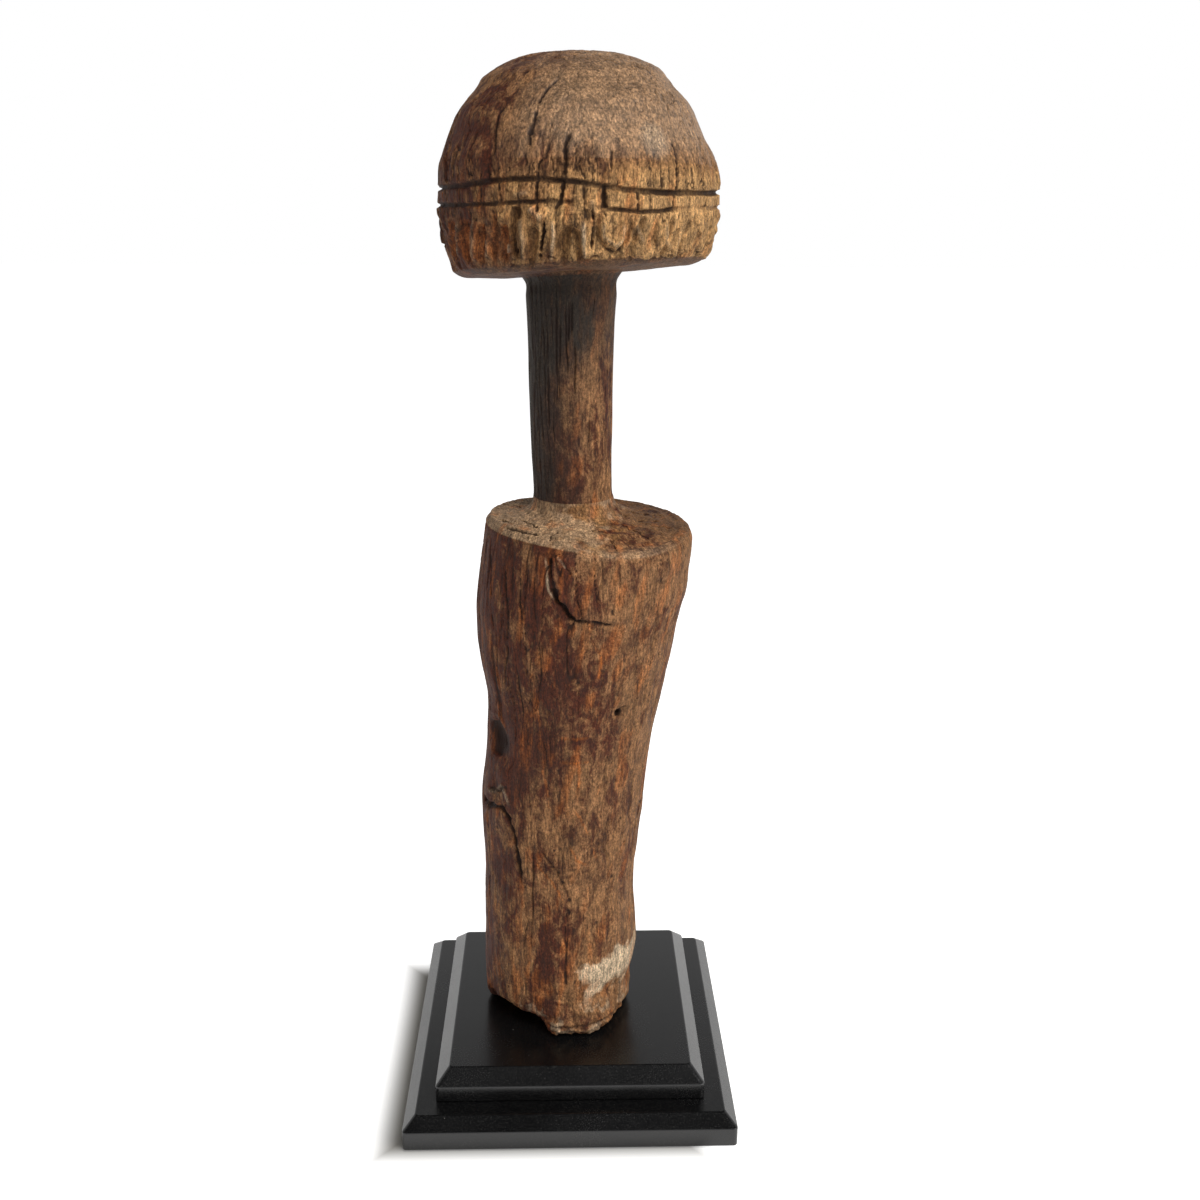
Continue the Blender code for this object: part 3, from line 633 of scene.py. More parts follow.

# Soft hollows, and swellings of negative depth: across, height, reach, depth, darkness of the
# painted shade and how tall they are. The first four are round the lost knot and the curved crack on the
# left.
DENTS = (
    (-31, 176, 6.5, 3.4, 0.85, 1.25), (-33.5, 152, 3.6, 1.4, 0.4, 1.6), (-30, 161, 4.5, -0.9, 0, 1.2),
    (-39, 141, 3.5, 1.8, 0.6, 0.7), (21, 195, 1.9, 1.5, 1.0, 1.1), (19.8, 192.2, 2.6, -0.5, 0, 0.6),
    (30, 60, 4.0, 0.9, 0, 1), (-11, 112, 6, 0.7, 0, 2.2), (4, 118, 7, -0.6, 0, 2.2),
    (10, 104, 6, 0.6, 0, 2.2), (-6, 90, 7, -0.5, 0, 2.2), (18, 140, 8, 0.6, 0, 2.2),
    (0, 150, 9, -0.6, 0, 2.2), (-18, 205, 9, 0.7, 0, 2.2), (30, 215, 9, 0.6, 0, 2.2),
)

# Broad lumps of each zone: their width, length and seed, and how high they lift the skin.
LUMPS = (
    (("body",), 22, 60, 11, 0.75), (("neck",), 11, 40, 12, 0.30), (HEAD, 20, 22, 13, 0.8),
    (("shoulder",), 12, 12, 14, 0.35), (("underside",), 14, 14, 15, 0.5),
)


def jagged(points, rng, step=4.0, sway=0.35):
    """The run through the points with small sideways steps in it, as a crack follows the fibres."""
    points = np.asarray(points, float)
    made = [points[0]]
    for start, end in zip(points[:-1], points[1:]):
        pieces = max(1, int(np.linalg.norm(end - start) / step))
        for number in range(1, pieces + 1):
            here = start + (end - start) * number / pieces
            move = np.array([rng.uniform(-sway, sway), rng.uniform(-sway, sway), 0])
            made.append(here + move)
    return np.array(made)


def rise_and_fall(block, rng, count, angles, heights, lengths, width, depth, dark):
    """Cuts upright cracks at random places in a range of angles and heights."""
    for _ in range(count):
        angle = rng.uniform(*angles)
        low = rng.uniform(*heights)
        high = min(low + rng.uniform(*lengths), heights[1] + 2)
        lean = rng.uniform(-0.05, 0.05)
        pieces = max(2, int((high - low) / 7))
        run = []
        for part in np.arange(pieces + 1) / pieces:
            turn = angle + lean * part + rng.uniform(-0.008, 0.008)
            run.append(block.around(turn, low + (high - low) * part))
        size = rng.uniform(0.6, 1.2)
        block.stroke(run, width * size, depth * size, dark * rng.uniform(0.6, 1), blunt=0.3)


def shape_broadly(block):
    """Lumps, flats and hollows that show in the outline."""
    skin = block.skin
    sides = smooth(0.9, 0.4, np.abs(block.face[..., 2]))
    body = block.zone_is("body")
    for names, across, along, seed, height in LUMPS:
        block.relief += height * block.grain(names, across, along, seed)
    rise = skin[..., 2]
    low_down = (1 - smooth(36, 66, rise)) * np.where(body | block.zone_is("foot"), 1, 0)
    front = smooth(0.1, 0.8, -np.sin(block.angle))
    block.relief += low_down * (0.5 + front) * 1.1 * block.grain(("foot", "body"), 7, 8, 16, 3)
    block.relief += sides * 0.30 * block.grain(("body",), 6, 30, 17)
    # The plate right of the stepped crack stands proud of the wood on its left.
    line = np.interp(rise, [237, 240, 241, 244, 249, 255, 268], [12, 6, 2, -0.3, -4.4, -7.2, -7.2])
    past = skin[..., 0] - line
    plate = smooth(-0.4, 0.7, past) * np.exp(-np.clip(past, 0, None) / 18)
    plate *= smooth(236.5, 240.5, rise) * (1 - smooth(266, 272, rise))
    block.relief += np.where(body & (skin[..., 1] < 0), 1.9 * plate, 0)
    # A wide worn bevel runs round the shoulder's front right edge.
    rim = bell(FOOT + 242.5, 5.5, rise) * bell(0, 0.75, turned_by(block.angle, math.radians(310)))
    block.relief -= np.where(body | block.zone_is("shoulder"), 2.3 * rim, 0)
    for across, height, *dent in DENTS:
        block.dent(block.front(across, height), *dent)


def carve_head(block, rng):
    """The grooved band, the scooped skirt below it and the checked dome above."""
    x, y, z = (block.skin[..., axis] for axis in range(3))
    head = block.zone_is(*HEAD)
    in_front = smooth(-0.15, 0.35, -np.sin(block.angle))
    block.checks(HEAD, 2.6, 26, 71, 0.07, 0.45, 0.75, 0.05)
    block.checks(("skirt",), 3.4, 10, 73, 0.12, 0.9, 0.7, -0.1, top=405)
    # The band between the grooves was left smoother than the skirt.
    band = head * smooth(401.5, 404, z) * (1 - smooth(409, 411, z))
    worn = 1 - 0.8 * band
    block.cut *= worn
    block.masks["hollow"] *= worn
    ragged = 0.35 * block.grain(HEAD, 3.5, 3.5, 31)
    for level, width, depth, plain in (
        (UPPER_GROOVE, 1.25, 2.2, UPPER_BACK),
        (LOWER_GROOVE, 1.0, 1.8, LOWER_BACK),
    ):
        across, heights = np.array(level, float).T
        line = np.interp(x, across, heights)
        round_back = plain + GROOVE_TIP * y + 0.8 * block.grain(HEAD, 30, 30, 33)
        line = in_front * line + (1 - in_front) * round_back
        strength = 0.8 + 0.3 * block.grain(HEAD, 12, 12, 34)
        if level is LOWER_GROOVE:
            gap = bell(3.5, 7.5, x) * in_front
            nub = bell(0.2, 1.6, x) * in_front
            faint = smooth(37, 43, x) * in_front
            strength = strength * (1 - 0.95 * gap + 0.6 * nub) * (1 - 0.6 * faint)
        apart = (z - line + ragged) / width
        groove = np.clip(1 - apart**2, 0, 1) ** 0.8 * depth * np.clip(strength, 0, 1.1)
        block.deepen(np.where(head, groove, 0))
        # The bottom of each groove is painted with shade.
        dark = (1 - smooth(0.5, 1.25, np.abs(apart))) * np.clip(strength, 0, 1)
        block.mark("hollow", np.where(head, dark, 0))
    for width, depth, dark, run in DOME_CRACKS:
        block.stroke(block.traced(run, rng), width, depth, dark)
    for width, depth, dark, *ends in BAND_CRACKS:
        block.stroke(block.traced((ends[:2], ends[2:]), rng, 3.0, 0.25), width, depth, dark, blunt=0.1)
    for width, depth, dark, run in SKIRT_GOUGES:
        ember = "ember" if dark < 0.5 and run[0][0] < EMBER_EDGE else None
        dark = dark if width < 1 else min(dark, 0.5)
        places = block.traced(run, rng, 4.0, 0.3)
        block.stroke(places, width * SKIRT_SPREAD, depth * SKIRT_BITE, dark, 0.22, ember, 1.2)
    for width, height, bright, run in SKIRT_RIBS:
        block.ridge(block.traced(run, rng, 4.0, 0.3), width, RIB_LIFT * height, bright)
    skirt_at_back(block, rng)
    block.checks(("dome",), 5.0, 40, 75, 0.045, 0.7, 0.9, 0.15)
    split_staves(block, rng)
    # Fine drying checks rise from the upper groove all the way round.
    for number in range(FINE_CHECKS):
        angle = rng.uniform(0, FULL_TURN)
        base = groove_height(angle, UPPER_GROOVE, UPPER_BACK) + 0.5
        reach = rng.uniform(3, 13) if number % 4 else rng.uniform(12, 26)
        run = [block.around(angle + rng.uniform(-0.02, 0.02), base + reach * part / 3) for part in range(4)]
        width, depth, dark = rng.uniform(0.26, 0.50), rng.uniform(0.5, 1.1), rng.uniform(0.7, 1.0)
        block.stroke(run, width, depth, dark, blunt=0.3)
    for count, *sizes in HEAD_CRACKS:
        rise_and_fall(block, rng, count, ALL_ROUND, *sizes)
    # Fibres stand out between the cuts, coarsest on the skirt.
    rough = (1 - smooth(400, 404, z)) * head
    block.relief += (0.16 + 0.26 * rough) * block.grain(HEAD, 1.6, 9.0, 35, 2)
    block.relief += rough * 1.1 * block.grain(HEAD, 3.6, 7.0, 36, 2)


def groove_height(angle, level, plain):
    """How high a groove stands at this angle."""
    if math.sin(angle) < -0.1:
        across, heights = zip(*level)
        return float(np.interp(TILT_AXIS + 56 * math.cos(angle), across, heights))
    return plain + GROOVE_TIP * 54 * math.sin(angle)


def split_staves(block, rng):
    """Steps the wood in and out between the long checks, as dried staves of it have moved."""
    z = block.skin[..., 2]
    head = block.zone_is(*HEAD)
    for low, high, top, depth, widths in (
        (410, 412, 432, 0.55, (0.05, 0.17)),
        (397, 400, 409, 0.7, (0.07, 0.2)),
    ):
        edges = np.cumsum(rng.uniform(*widths, 160))
        edges = edges[edges < FULL_TURN]
        offsets = rng.uniform(-1, 1, len(edges) + 1)
        turn = (block.angle + 0.012 * np.sin(z * 0.9) + 0.004 * (z - low)) % FULL_TURN
        stave = offsets[np.searchsorted(edges, turn)]
        fade = head * smooth(low, high, z) * (1 - smooth(low + 0.35 * (top - low), top, z))
        block.relief += depth * stave * fade
        nearest = np.abs(turn - edges[np.clip(np.searchsorted(edges, turn), 0, len(edges) - 1)])
        # A line of painted shade marks each step between the staves.
        block.mark("hollow", 0.55 * (nearest < 0.008) * fade)


def skirt_at_back(block, rng):
    """Carries the scooped pattern of the skirt round the sides and the back."""
    angle = math.radians(-4)
    while angle < math.radians(184):
        wide = rng.uniform(0.13, 0.19)
        top = 399.5 - 50 * GROOVE_TIP * -math.sin(angle)
        low = 377 + 3.5 * math.cos(angle) - 4.5 * math.sin(angle)
        middle = (top + low) / 2
        for side in (-wide, wide):
            places = ((0, top), (0.28, middle), (0.3, low))
            run = [block.around(angle + side * out, level) for out, level in places]
            block.stroke(run, 1.3, 1.5, 0.5, blunt=0.15)
        scoop = [block.around(angle, middle + 4), block.around(angle, low)]
        block.stroke(scoop, 2.3, 1.6, 0.3, blunt=0.3, soft=1.1)
        angle += wide * 1.25


def carve_body(block, rng):
    """Cracks, flutes, worm pits and worn grain of the body and neck."""
    for width, depth, dark, run in BODY_CUTS:
        block.stroke(block.traced(run, rng, 4.0, 0.3), width, depth, dark)
    for width, run in FLAKED_LINES:
        block.stroke(block.traced(run, rng, 2.5, 0.5), width, 0.15, 0.0, mask="ember")
    for width, height, bright, run in LIPS_WITH_HIGHLIGHT:
        block.ridge(block.traced(run, rng, 4.0, 0.2), width, height, bright)
    for crack in TRUNK_CRACKS:
        rise_and_fall(block, rng, *crack)
    for angle, low, high, width in BACK_SHAKES:
        heights = np.arange(low, high, 9.0)
        run = [block.around(angle + 0.03 * math.sin(height / 17), height) for height in heights]
        block.stroke(jagged(run, rng, 5, 0.4), width, 2.4, 1.0)
    block.checks(("body", "neck"), 3.2, 60, 81, 0.06, 0.40, 0.7, 0.0)
    block.checks(("body",), 8.0, 110, 83, 0.030, 0.9, 0.9, 0.1)
    block.checks(("foot", "body"), 2.2, 14, 85, 0.08, 0.25, 0.5, 0.15)
    for _ in range(WORM_PITS):
        middle = block.around(rng.uniform(0, FULL_TURN), rng.uniform(45, 262))
        block.dent(middle, rng.uniform(0.5, 0.9), rng.uniform(0.3, 0.7), 0.8, tall=rng.uniform(1, 2))
    block.relief += 0.16 * block.grain(("foot", "body"), 1.7, 16, 41, 2)
    block.relief += 0.20 * block.grain(("foot", "body"), 3.4, 11, 42, 2)
    block.relief += 0.13 * block.grain(("neck",), 1.8, 12, 43, 2)
    # The rotted toe is rough and swirled, with a rolled lip along its lower edge.
    rise = block.skin[..., 2] - FOOT
    toe = smooth(LOBE_START - 0.3, LOBE_START + 0.1, block.angle)
    toe = toe * (1 - smooth(LOBE_END, LOBE_END + 0.3, block.angle))
    rotted = toe * (1 - smooth(12, 24, rise)) * block.zone_is("foot", "body")
    block.relief += rotted * (1.1 * block.grain(("foot", "body"), 4.2, 3.6, 44, 3)
                              + 0.5 * np.abs(block.grain(("foot", "body"), 2.2, 2.2, 45, 2)))
    edge = toe * block.zone_is("body")
    wavy = rise + 0.8 * block.grain(("foot", "body"), 6, 6, 46)
    lip, seam = edge * bell(3.0, 1.5, wavy), edge * bell(6.2, 0.9, wavy)
    block.relief += lip
    block.deepen(0.8 * seam)
    # The lip is painted paler along its crest, a painted highlight, and the seam above it with painted shade.
    block.mark("pale", 0.55 * lip)
    block.mark("hollow", 0.6 * seam)


def carve_shoulder(block, rng):
    """End grain on the cut top of the body: rings, radial slits and small pits round the neck."""
    top = block.zone_is("shoulder") & (block.face[..., 2] > 0.6)
    x, y = block.skin[..., 0], block.skin[..., 1]
    away = np.hypot(x - 4, y * 1.05) + 1.4 * block.grain(("shoulder",), 16, 16, 51)
    rings = np.sin(away * FULL_TURN / 3.1) * 0.22 + np.sin(away * FULL_TURN / 7.3) * 0.25
    block.relief += np.where(top, rings + 0.30 * block.grain(("shoulder",), 2.2, 2.2, 52, 2), 0)
    for width, depth, run in SLITS:
        block.stroke(jagged([block.on_top(*place) for place in run], rng, 3, 0.5), width, depth, 0.95)
    block.dent(block.on_top(-13, -13), 4.5, 0.8, 0.35)
    for across, back, size in PITS:
        block.dent(block.on_top(across, back), size, 1.3, 1.0)


# The direction the key light comes from, across and back. The side of the wood that faces it is painted
# lighter, a painted light.
LIT_ACROSS, LIT_BACK = 0.906, -0.423
# Axes turned off the upright, so that no stain follows them.
TILTED_AXES = np.array([[0.78, -0.60, 0.18], [0.60, 0.80, 0.12], [-0.22, 0.05, 0.97]])


def stain(block):
    """Where the wood is tan, pale, golden, polished or bright in its hollows, and where light and shade are
    painted: lighter and tan on the side facing the key light, darker on the neck's left, under the head and
    on the body's left, with painted highlights and sheen on the head.
    """
    x, y, z = (block.skin[..., axis] for axis in range(3))
    tilted = block.skin @ TILTED_AXES
    blotch = grain(tilted, 17, 55, 61, 3)
    small = grain(tilted, 5, 18, 62, 2)
    ragged = grain(tilted, 6, 6, 64, 3)
    body, neck, top, dome = (block.zone_is(name) for name in ("body", "neck", "shoulder", "dome"))
    head = block.zone_is(*HEAD)
    least = np.where(head, 34, 16)
    turn = (LIT_ACROSS * (x - block.centre) + LIT_BACK * y) / np.maximum(block.half, least)
    high_up = smooth(370, 385, z)
    # The tan mask is painted light and shade: it rises on the side facing the key light and falls on the side
    # away from it, with random blotches and more of it up on the head.
    tan = 0.5 + 0.42 * turn + 0.40 * blotch + 0.22 * small + 0.12 * high_up
    # It is lower towards the top of the body, and lower again on the body's upper left.
    tan = tan - 0.12 * smooth(200, 255, z) * (1 - high_up)
    tan = tan - 0.26 * bell(205, 42, z) * smooth(30, -24, x + 10 * small) * (1 - high_up)
    block.mark("tan", np.clip(tan, 0, 1))
    # The neck is painted darker on its left, away from the key light, and at its top under the head, and the
    # head's underside darker too: painted shade.
    left = smooth(0.6, -0.9, np.cos(block.angle) + 0.5 * small)
    under = smooth(318, 366, z) * neck
    block.mark("smoke", np.clip(neck * (0.95 * left + 0.75 * under) + 0.5 * block.zone_is("underside"), 0, 1))
    # The shoulder's top is painted darker towards its right back under the head, and the body's left in
    # blotches: painted shade.
    block.mark("smoke", 0.45 * top * smooth(10, 34, x) * smooth(-30, -5, y))
    block.mark("smoke", 0.3 * smooth(0.2, 0.6, -blotch) * left * body)
    low = 1 - smooth(63, 69, z - 0.12 * x + 8 * ragged)
    near_right = smooth(2, 8, x + 9 * ragged + 0.22 * (z - 56)) * smooth(-0.2, 0.4, -np.sin(block.angle))
    above = smooth(46, 56, z + 8 * ragged)
    block.mark("pale", 0.9 * low * near_right * above * body)
    # The foot is paler in ragged patches, a little more on the side facing the key light, which part is
    # painted light.
    foot = 1 - smooth(36, 62, z + 8 * blotch)
    block.mark("pale", 0.5 * foot * smooth(0.05, 0.45, ragged + 0.3 * turn))
    # The lower head is painted golden and paler on the side facing the key light: painted light on the golden
    # wood.
    lit_side = smooth(-0.5, 0.7, turn + 0.5 * small + 0.3 * blotch)
    lower_head = head * (1 - smooth(411, 424, z + 5 * small))
    block.mark("gold", 0.78 * lit_side * lower_head)
    block.mark("pale", 0.25 * lit_side * lower_head)
    block.mark("gold", 0.38 * top * smooth(0.45, -0.4, small + 0.03 * (x - 20)))
    block.mark("pale", 0.40 * top * smooth(0.45, -0.4, ragged + 0.03 * (x - 14)))
    rim = np.where(top, smooth(0.72, 0.95, block.share_of("shoulder")), smooth(262, 268, z) * body)
    block.mark("pale", 0.35 * rim * bell(0, 0.8, turned_by(block.angle, BEVEL_ANGLE)))
    # The dome's crown is polished on its right: glossier, and painted a grey-tan colour that is partly a
    # painted sheen.
    crown = smooth(-26, 26, x - 0.4 * y + 10 * small) * smooth(412, 430, z + 6 * small)
    block.mark("polish", np.where(dome, 0.75 * crown, 0))
    block.patch("polish", block.front(31, 428), 9.5, 1.0)
    # The pale patch at the front right of the dome is a painted highlight.
    block.patch("pale", block.front(31, 428), 6.5, 0.35)
    block.patch("ember", block.front(-20, 63), 1.8, 0.9, tall=2.5)
    glow = smooth(0.15, 0.55, grain(tilted, 4.5, 16, 63, 2))
    block.masks["ember"] *= 0.65 + 0.35 * glow
    block.mark("ember", 0.40 * glow * (1 - smooth(408, 420, z)))


def mesh_of(name, block):
    """Sews the carved grid into one closed mesh, with its masks and a map for the finish."""
    shape = block.skin + block.face * (block.relief - block.cut)[..., None]
    rings, columns = block.angle.shape
    foot, crown = shape[0].mean(axis=0), shape[-1].mean(axis=0)
    shape[..., 2] = np.maximum(shape[..., 2], FOOT)
    foot[2] = FOOT
    points = np.vstack([shape.reshape(-1, 3), foot, crown]) * MM
    grid = np.arange(rings * columns).reshape(rings, columns)
    beside = np.roll(grid, -1, axis=1)
    quads = np.stack([grid[:-1], beside[:-1], beside[1:], grid[1:]], axis=-1).reshape(-1, 4)
    low, high = rings * columns, rings * columns + 1
    bottom = np.stack([beside[0], grid[0], np.full(columns, low)], axis=-1)
    top = np.stack([grid[-1], beside[-1], np.full(columns, high)], axis=-1)
    corners = np.concatenate([quads.ravel(), bottom.ravel(), top.ravel()])
    sizes = np.concatenate([np.full(len(quads), 4), np.full(2 * columns, 3)])
    mesh = bpy.data.meshes.new(name)
    mesh.vertices.add(len(points))
    mesh.vertices.foreach_set("co", points.astype(np.float32).ravel())
    mesh.loops.add(len(corners))
    mesh.loops.foreach_set("vertex_index", corners.astype(np.int32))
    mesh.polygons.add(len(sizes))
    starts = np.concatenate([[0], np.cumsum(sizes)[:-1]])
    mesh.polygons.foreach_set("loop_start", starts.astype(np.int32))
    mesh.update(calc_edges=True)
    for mask, values in block.masks.items():
        ends = [values[0].mean(), values[-1].mean()]
        layer = mesh.attributes.new(mask, "FLOAT", "POINT")
        layer.data.foreach_set("value", np.concatenate([values.ravel(), ends]).astype(np.float32))
    unwrap(mesh, block, quads, bottom, top)
    mesh.shade_smooth()
    mesh.validate()
    return mesh


def unwrap(mesh, block, quads, bottom, top):
    """Lays the rings out flat: angle across the map, distance along the outline up it."""
    columns = block.angle.shape[1]
    edge = block.skin.mean(axis=1)
    edge[:, 0] += block.half[:, 0]
    steps = np.linalg.norm(np.diff(edge, axis=0), axis=1)
    up = np.concatenate([[0], np.cumsum(steps)])
    up = 0.01 + 0.98 * up / up[-1]
    ring, column = np.divmod(quads, columns)
    across = column / columns
    across[:, 1] = across[:, 0] + 1 / columns
    across[:, 2] = across[:, 1]
    maps = [np.stack([across, up[ring]], axis=-1).reshape(-1, 2)]
    for fan, rim, pole in ((bottom, 0.01, 0.0), (top, 0.99, 1.0)):
        side = (fan[:, :2] % columns) / columns
        wrapped = np.abs(side[:, 0] - side[:, 1]) > 0.5
        side = np.where(wrapped[:, None] & (side < 0.5), side + 1, side)
        middle = side.mean(axis=1, keepdims=True)
        u = np.concatenate([side, middle], axis=1)
        v = np.tile((rim, rim, pole), (len(fan), 1))
        maps.append(np.stack([u, v], axis=-1).reshape(-1, 2))
    layer = mesh.uv_layers.new(name="OFBake")
    layer.data.foreach_set("uv", np.concatenate(maps).astype(np.float32).ravel())


# ---------------------------------------------------------------------------
# Finishes
# ---------------------------------------------------------------------------


def set_inputs(node, **values):
    """Sets a node's sockets by name, with _ for each space."""
    for key, value in values.items():
        node.inputs[key.replace("_", " ")].default_value = value


class Finish:
    """A material and short words for its nodes."""

    def __init__(self, name):
        self.material = bpy.data.materials.new(name)
        self.material.use_nodes = True
        self.tree = self.material.node_tree
        self.tree.nodes.clear()
        self.output = self.add("ShaderNodeOutputMaterial")
        self.surface = self.add("ShaderNodeBsdfPrincipled")
        self.join(self.surface.outputs["BSDF"], self.output.inputs["Surface"])
        self.place = self.add("ShaderNodeTexCoord").outputs["Object"]

    def add(self, kind, **settings):
        made = self.tree.nodes.new(kind)
        for key, value in settings.items():
            setattr(made, key, value)
        return made

    def join(self, start, end):
        self.tree.links.new(start, end)

    def feed(self, socket, value):
        if isinstance(value, bpy.types.NodeSocket):
            self.join(value, socket)
        elif socket.type == "RGBA":
            socket.default_value = (*value, 1)
        else:
            socket.default_value = value

    def scaled(self, across, along):
        made = self.add("ShaderNodeMapping")
        self.join(self.place, made.inputs["Vector"])
        made.inputs["Scale"].default_value = (across, across, along)
        return made.outputs["Vector"]

    def noise(self, across, along, detail=4.0, rough=0.6, twist=0.0):
        """Noise with this many lumps in a metre across the piece and up it."""
        made = self.add("ShaderNodeTexNoise")
        self.join(self.scaled(across, along), made.inputs["Vector"])
        set_inputs(made, Scale=1.0, Detail=detail, Roughness=rough, Distortion=twist)
        return made.outputs["Fac"]

    def cells(self, count):
        made = self.add("ShaderNodeTexVoronoi")
        self.join(self.scaled(count, count), made.inputs["Vector"])
        made.inputs["Scale"].default_value = 1.0
        return made.outputs["Distance"]

    def ramp(self, value, low, high, out_low=0.0, out_high=1.0):
        made = self.add("ShaderNodeMapRange", interpolation_type="SMOOTHSTEP")
        self.join(value, made.inputs["Value"])
        set_inputs(made, From_Min=low, From_Max=high, To_Min=out_low, To_Max=out_high)
        return made.outputs["Result"]

    def mask(self, name):
        return self.add("ShaderNodeAttribute", attribute_name=name).outputs["Fac"]

    def sum(self, kind, first, second):
        made = self.add("ShaderNodeMath", operation=kind, use_clamp=False)
        self.feed(made.inputs[0], first)
        self.feed(made.inputs[1], second)
        return made.outputs[0]

    def mix(self, factor, first, second, kind="MIX"):
        """Two colours mixed. The colour sockets are found by type, as other sockets share their names."""
        made = self.add("ShaderNodeMix", data_type="RGBA", blend_type=kind)
        colours = [socket for socket in made.inputs if socket.type == "RGBA"]
        for socket, value in zip((made.inputs[0], *colours), (factor, first, second)):
            self.feed(socket, value)
        return next(socket for socket in made.outputs if socket.type == "RGBA")

    def dapple(self, colour, noise, low, high, darkest, lightest, factor=1.0):
        """The colour darkened and lightened by the noise."""
        grey = self.add("ShaderNodeCombineColor")
        amount = self.ramp(noise, low, high, darkest, lightest)
        for key in ("Red", "Green", "Blue"):
            self.join(amount, grey.inputs[key])
        return self.mix(factor, colour, grey.outputs["Color"], "MULTIPLY")

    def bumps(self, *layers):
        """Stacks height layers, each with its depth in millimetres, into one normal."""
        normal = None
        for height, depth in layers:
            made = self.add("ShaderNodeBump")
            made.inputs["Distance"].default_value = depth * MM
            self.join(height, made.inputs["Height"])
            if normal:
                self.join(normal, made.inputs["Normal"])
            normal = made.outputs["Normal"]
        self.join(normal, self.surface.inputs["Normal"])


def old_wood(settings):
    """Weathered wood: reddish heart and tan, set by painted light and shade from the key light, a grey-tan
    sheen where polished, painted shade on the neck and dark painted shade in the cuts.
    """
    wood = Finish("weathered_wood")
    broad = wood.noise(60, 26, 4, 0.65, 0.8)
    patchy = wood.noise(150, 85, 5, 0.72, 1.2)
    streak = wood.noise(420, 40, 5, 0.65, 0.3)
    fibre = wood.noise(1150, 190, 4, 0.7)
    speck = wood.noise(1250, 820, 3, 0.75)
    pores = wood.noise(620, 120, 3, 0.6)
    rings = wood.noise(22, 480, 3, 0.6, 0.4)
    tan_amount = wood.sum("ADD", wood.mask("tan"), wood.ramp(broad, 0.35, 0.65, -0.3, 0.3))
    tan_amount = wood.sum("ADD", tan_amount, wood.ramp(patchy, 0.36, 0.64, -0.30, 0.30))
    tan_amount = wood.sum("ADD", tan_amount, wood.ramp(streak, 0.3, 0.7, -0.10, 0.10))
    # Reddish heart shows where the tan mask is low, which is mostly the side away from the key light: the
    # wood's colour used as painted shade.
    colour = wood.mix(wood.ramp(tan_amount, 0.1, 1.0), settings.heart, settings.tan)
    # Polished wood takes a grey-tan colour, partly a painted sheen.
    colour = wood.mix(wood.ramp(wood.mask("polish"), 0.0, 1.0, 0, 0.85), colour, settings.handled_sheen)
    colour = wood.mix(wood.ramp(wood.mask("gold"), 0.05, 0.95, 0, 0.9), colour, settings.golden)
    colour = wood.mix(wood.ramp(wood.mask("pale"), 0.1, 0.9, 0, 0.9), colour, settings.bleached_and_highlight)
    ember = wood.sum("MULTIPLY", wood.mask("ember"), wood.ramp(streak, 0.35, 0.6, 0.35, 1.0))
    colour = wood.mix(ember, colour, settings.ember)
    # The painted shade on the neck, under the head, on the shoulder's top and on the body's left.
    shade_dark = wood.sum("MULTIPLY", wood.mask("smoke"), wood.ramp(streak, 0.25, 0.5, 0.7, 1.0))
    colour = wood.mix(shade_dark, colour, settings.shade_dark)
    colour = wood.dapple(colour, patchy, 0.34, 0.66, 0.80, 1.22)
    colour = wood.dapple(colour, streak, 0.3, 0.7, 0.74, 1.24)
    colour = wood.dapple(colour, fibre, 0.3, 0.7, 0.56, 1.48)
    colour = wood.dapple(colour, speck, 0.34, 0.66, 0.55, 1.50)
    worn = wood.ramp(wood.mask("polish"), 0.2, 0.9, 0, 1.0)
    colour = wood.dapple(colour, rings, 0.35, 0.65, 0.84, 1.12, worn)
    dark_pores = wood.ramp(pores, 0.28, 0.40, 0.55, 0.0)
    colour = wood.mix(dark_pores, colour, settings.pores_and_cut_shade)
    # Cracks, checks, grooves and dents are darkened here: painted shade.
    hollow = wood.ramp(wood.mask("hollow"), 0.05, 0.95, 0, 0.94)
    colour = wood.mix(hollow, colour, settings.pores_and_cut_shade)
    wood.join(colour, wood.surface.inputs["Base Color"])
    sheen = wood.sum("MULTIPLY", wood.mask("polish"), wood.ramp(speck, 0.3, 0.7, 0.6, 1.0))
    roughness = wood.ramp(sheen, 0.0, 1.0, 0.72, 0.40)
    roughness = wood.sum("ADD", roughness, wood.ramp(fibre, 0.3, 0.7, -0.08, 0.10))
    wood.join(roughness, wood.surface.inputs["Roughness"])
    gloss = wood.ramp(wood.mask("polish"), 0.0, 1.0, 0.25, 0.6)
    wood.join(gloss, wood.surface.inputs["Specular IOR Level"])
    wood.bumps((streak, 0.8), (pores, 0.35), (fibre, 0.34), (speck, 0.16))
    return wood.material


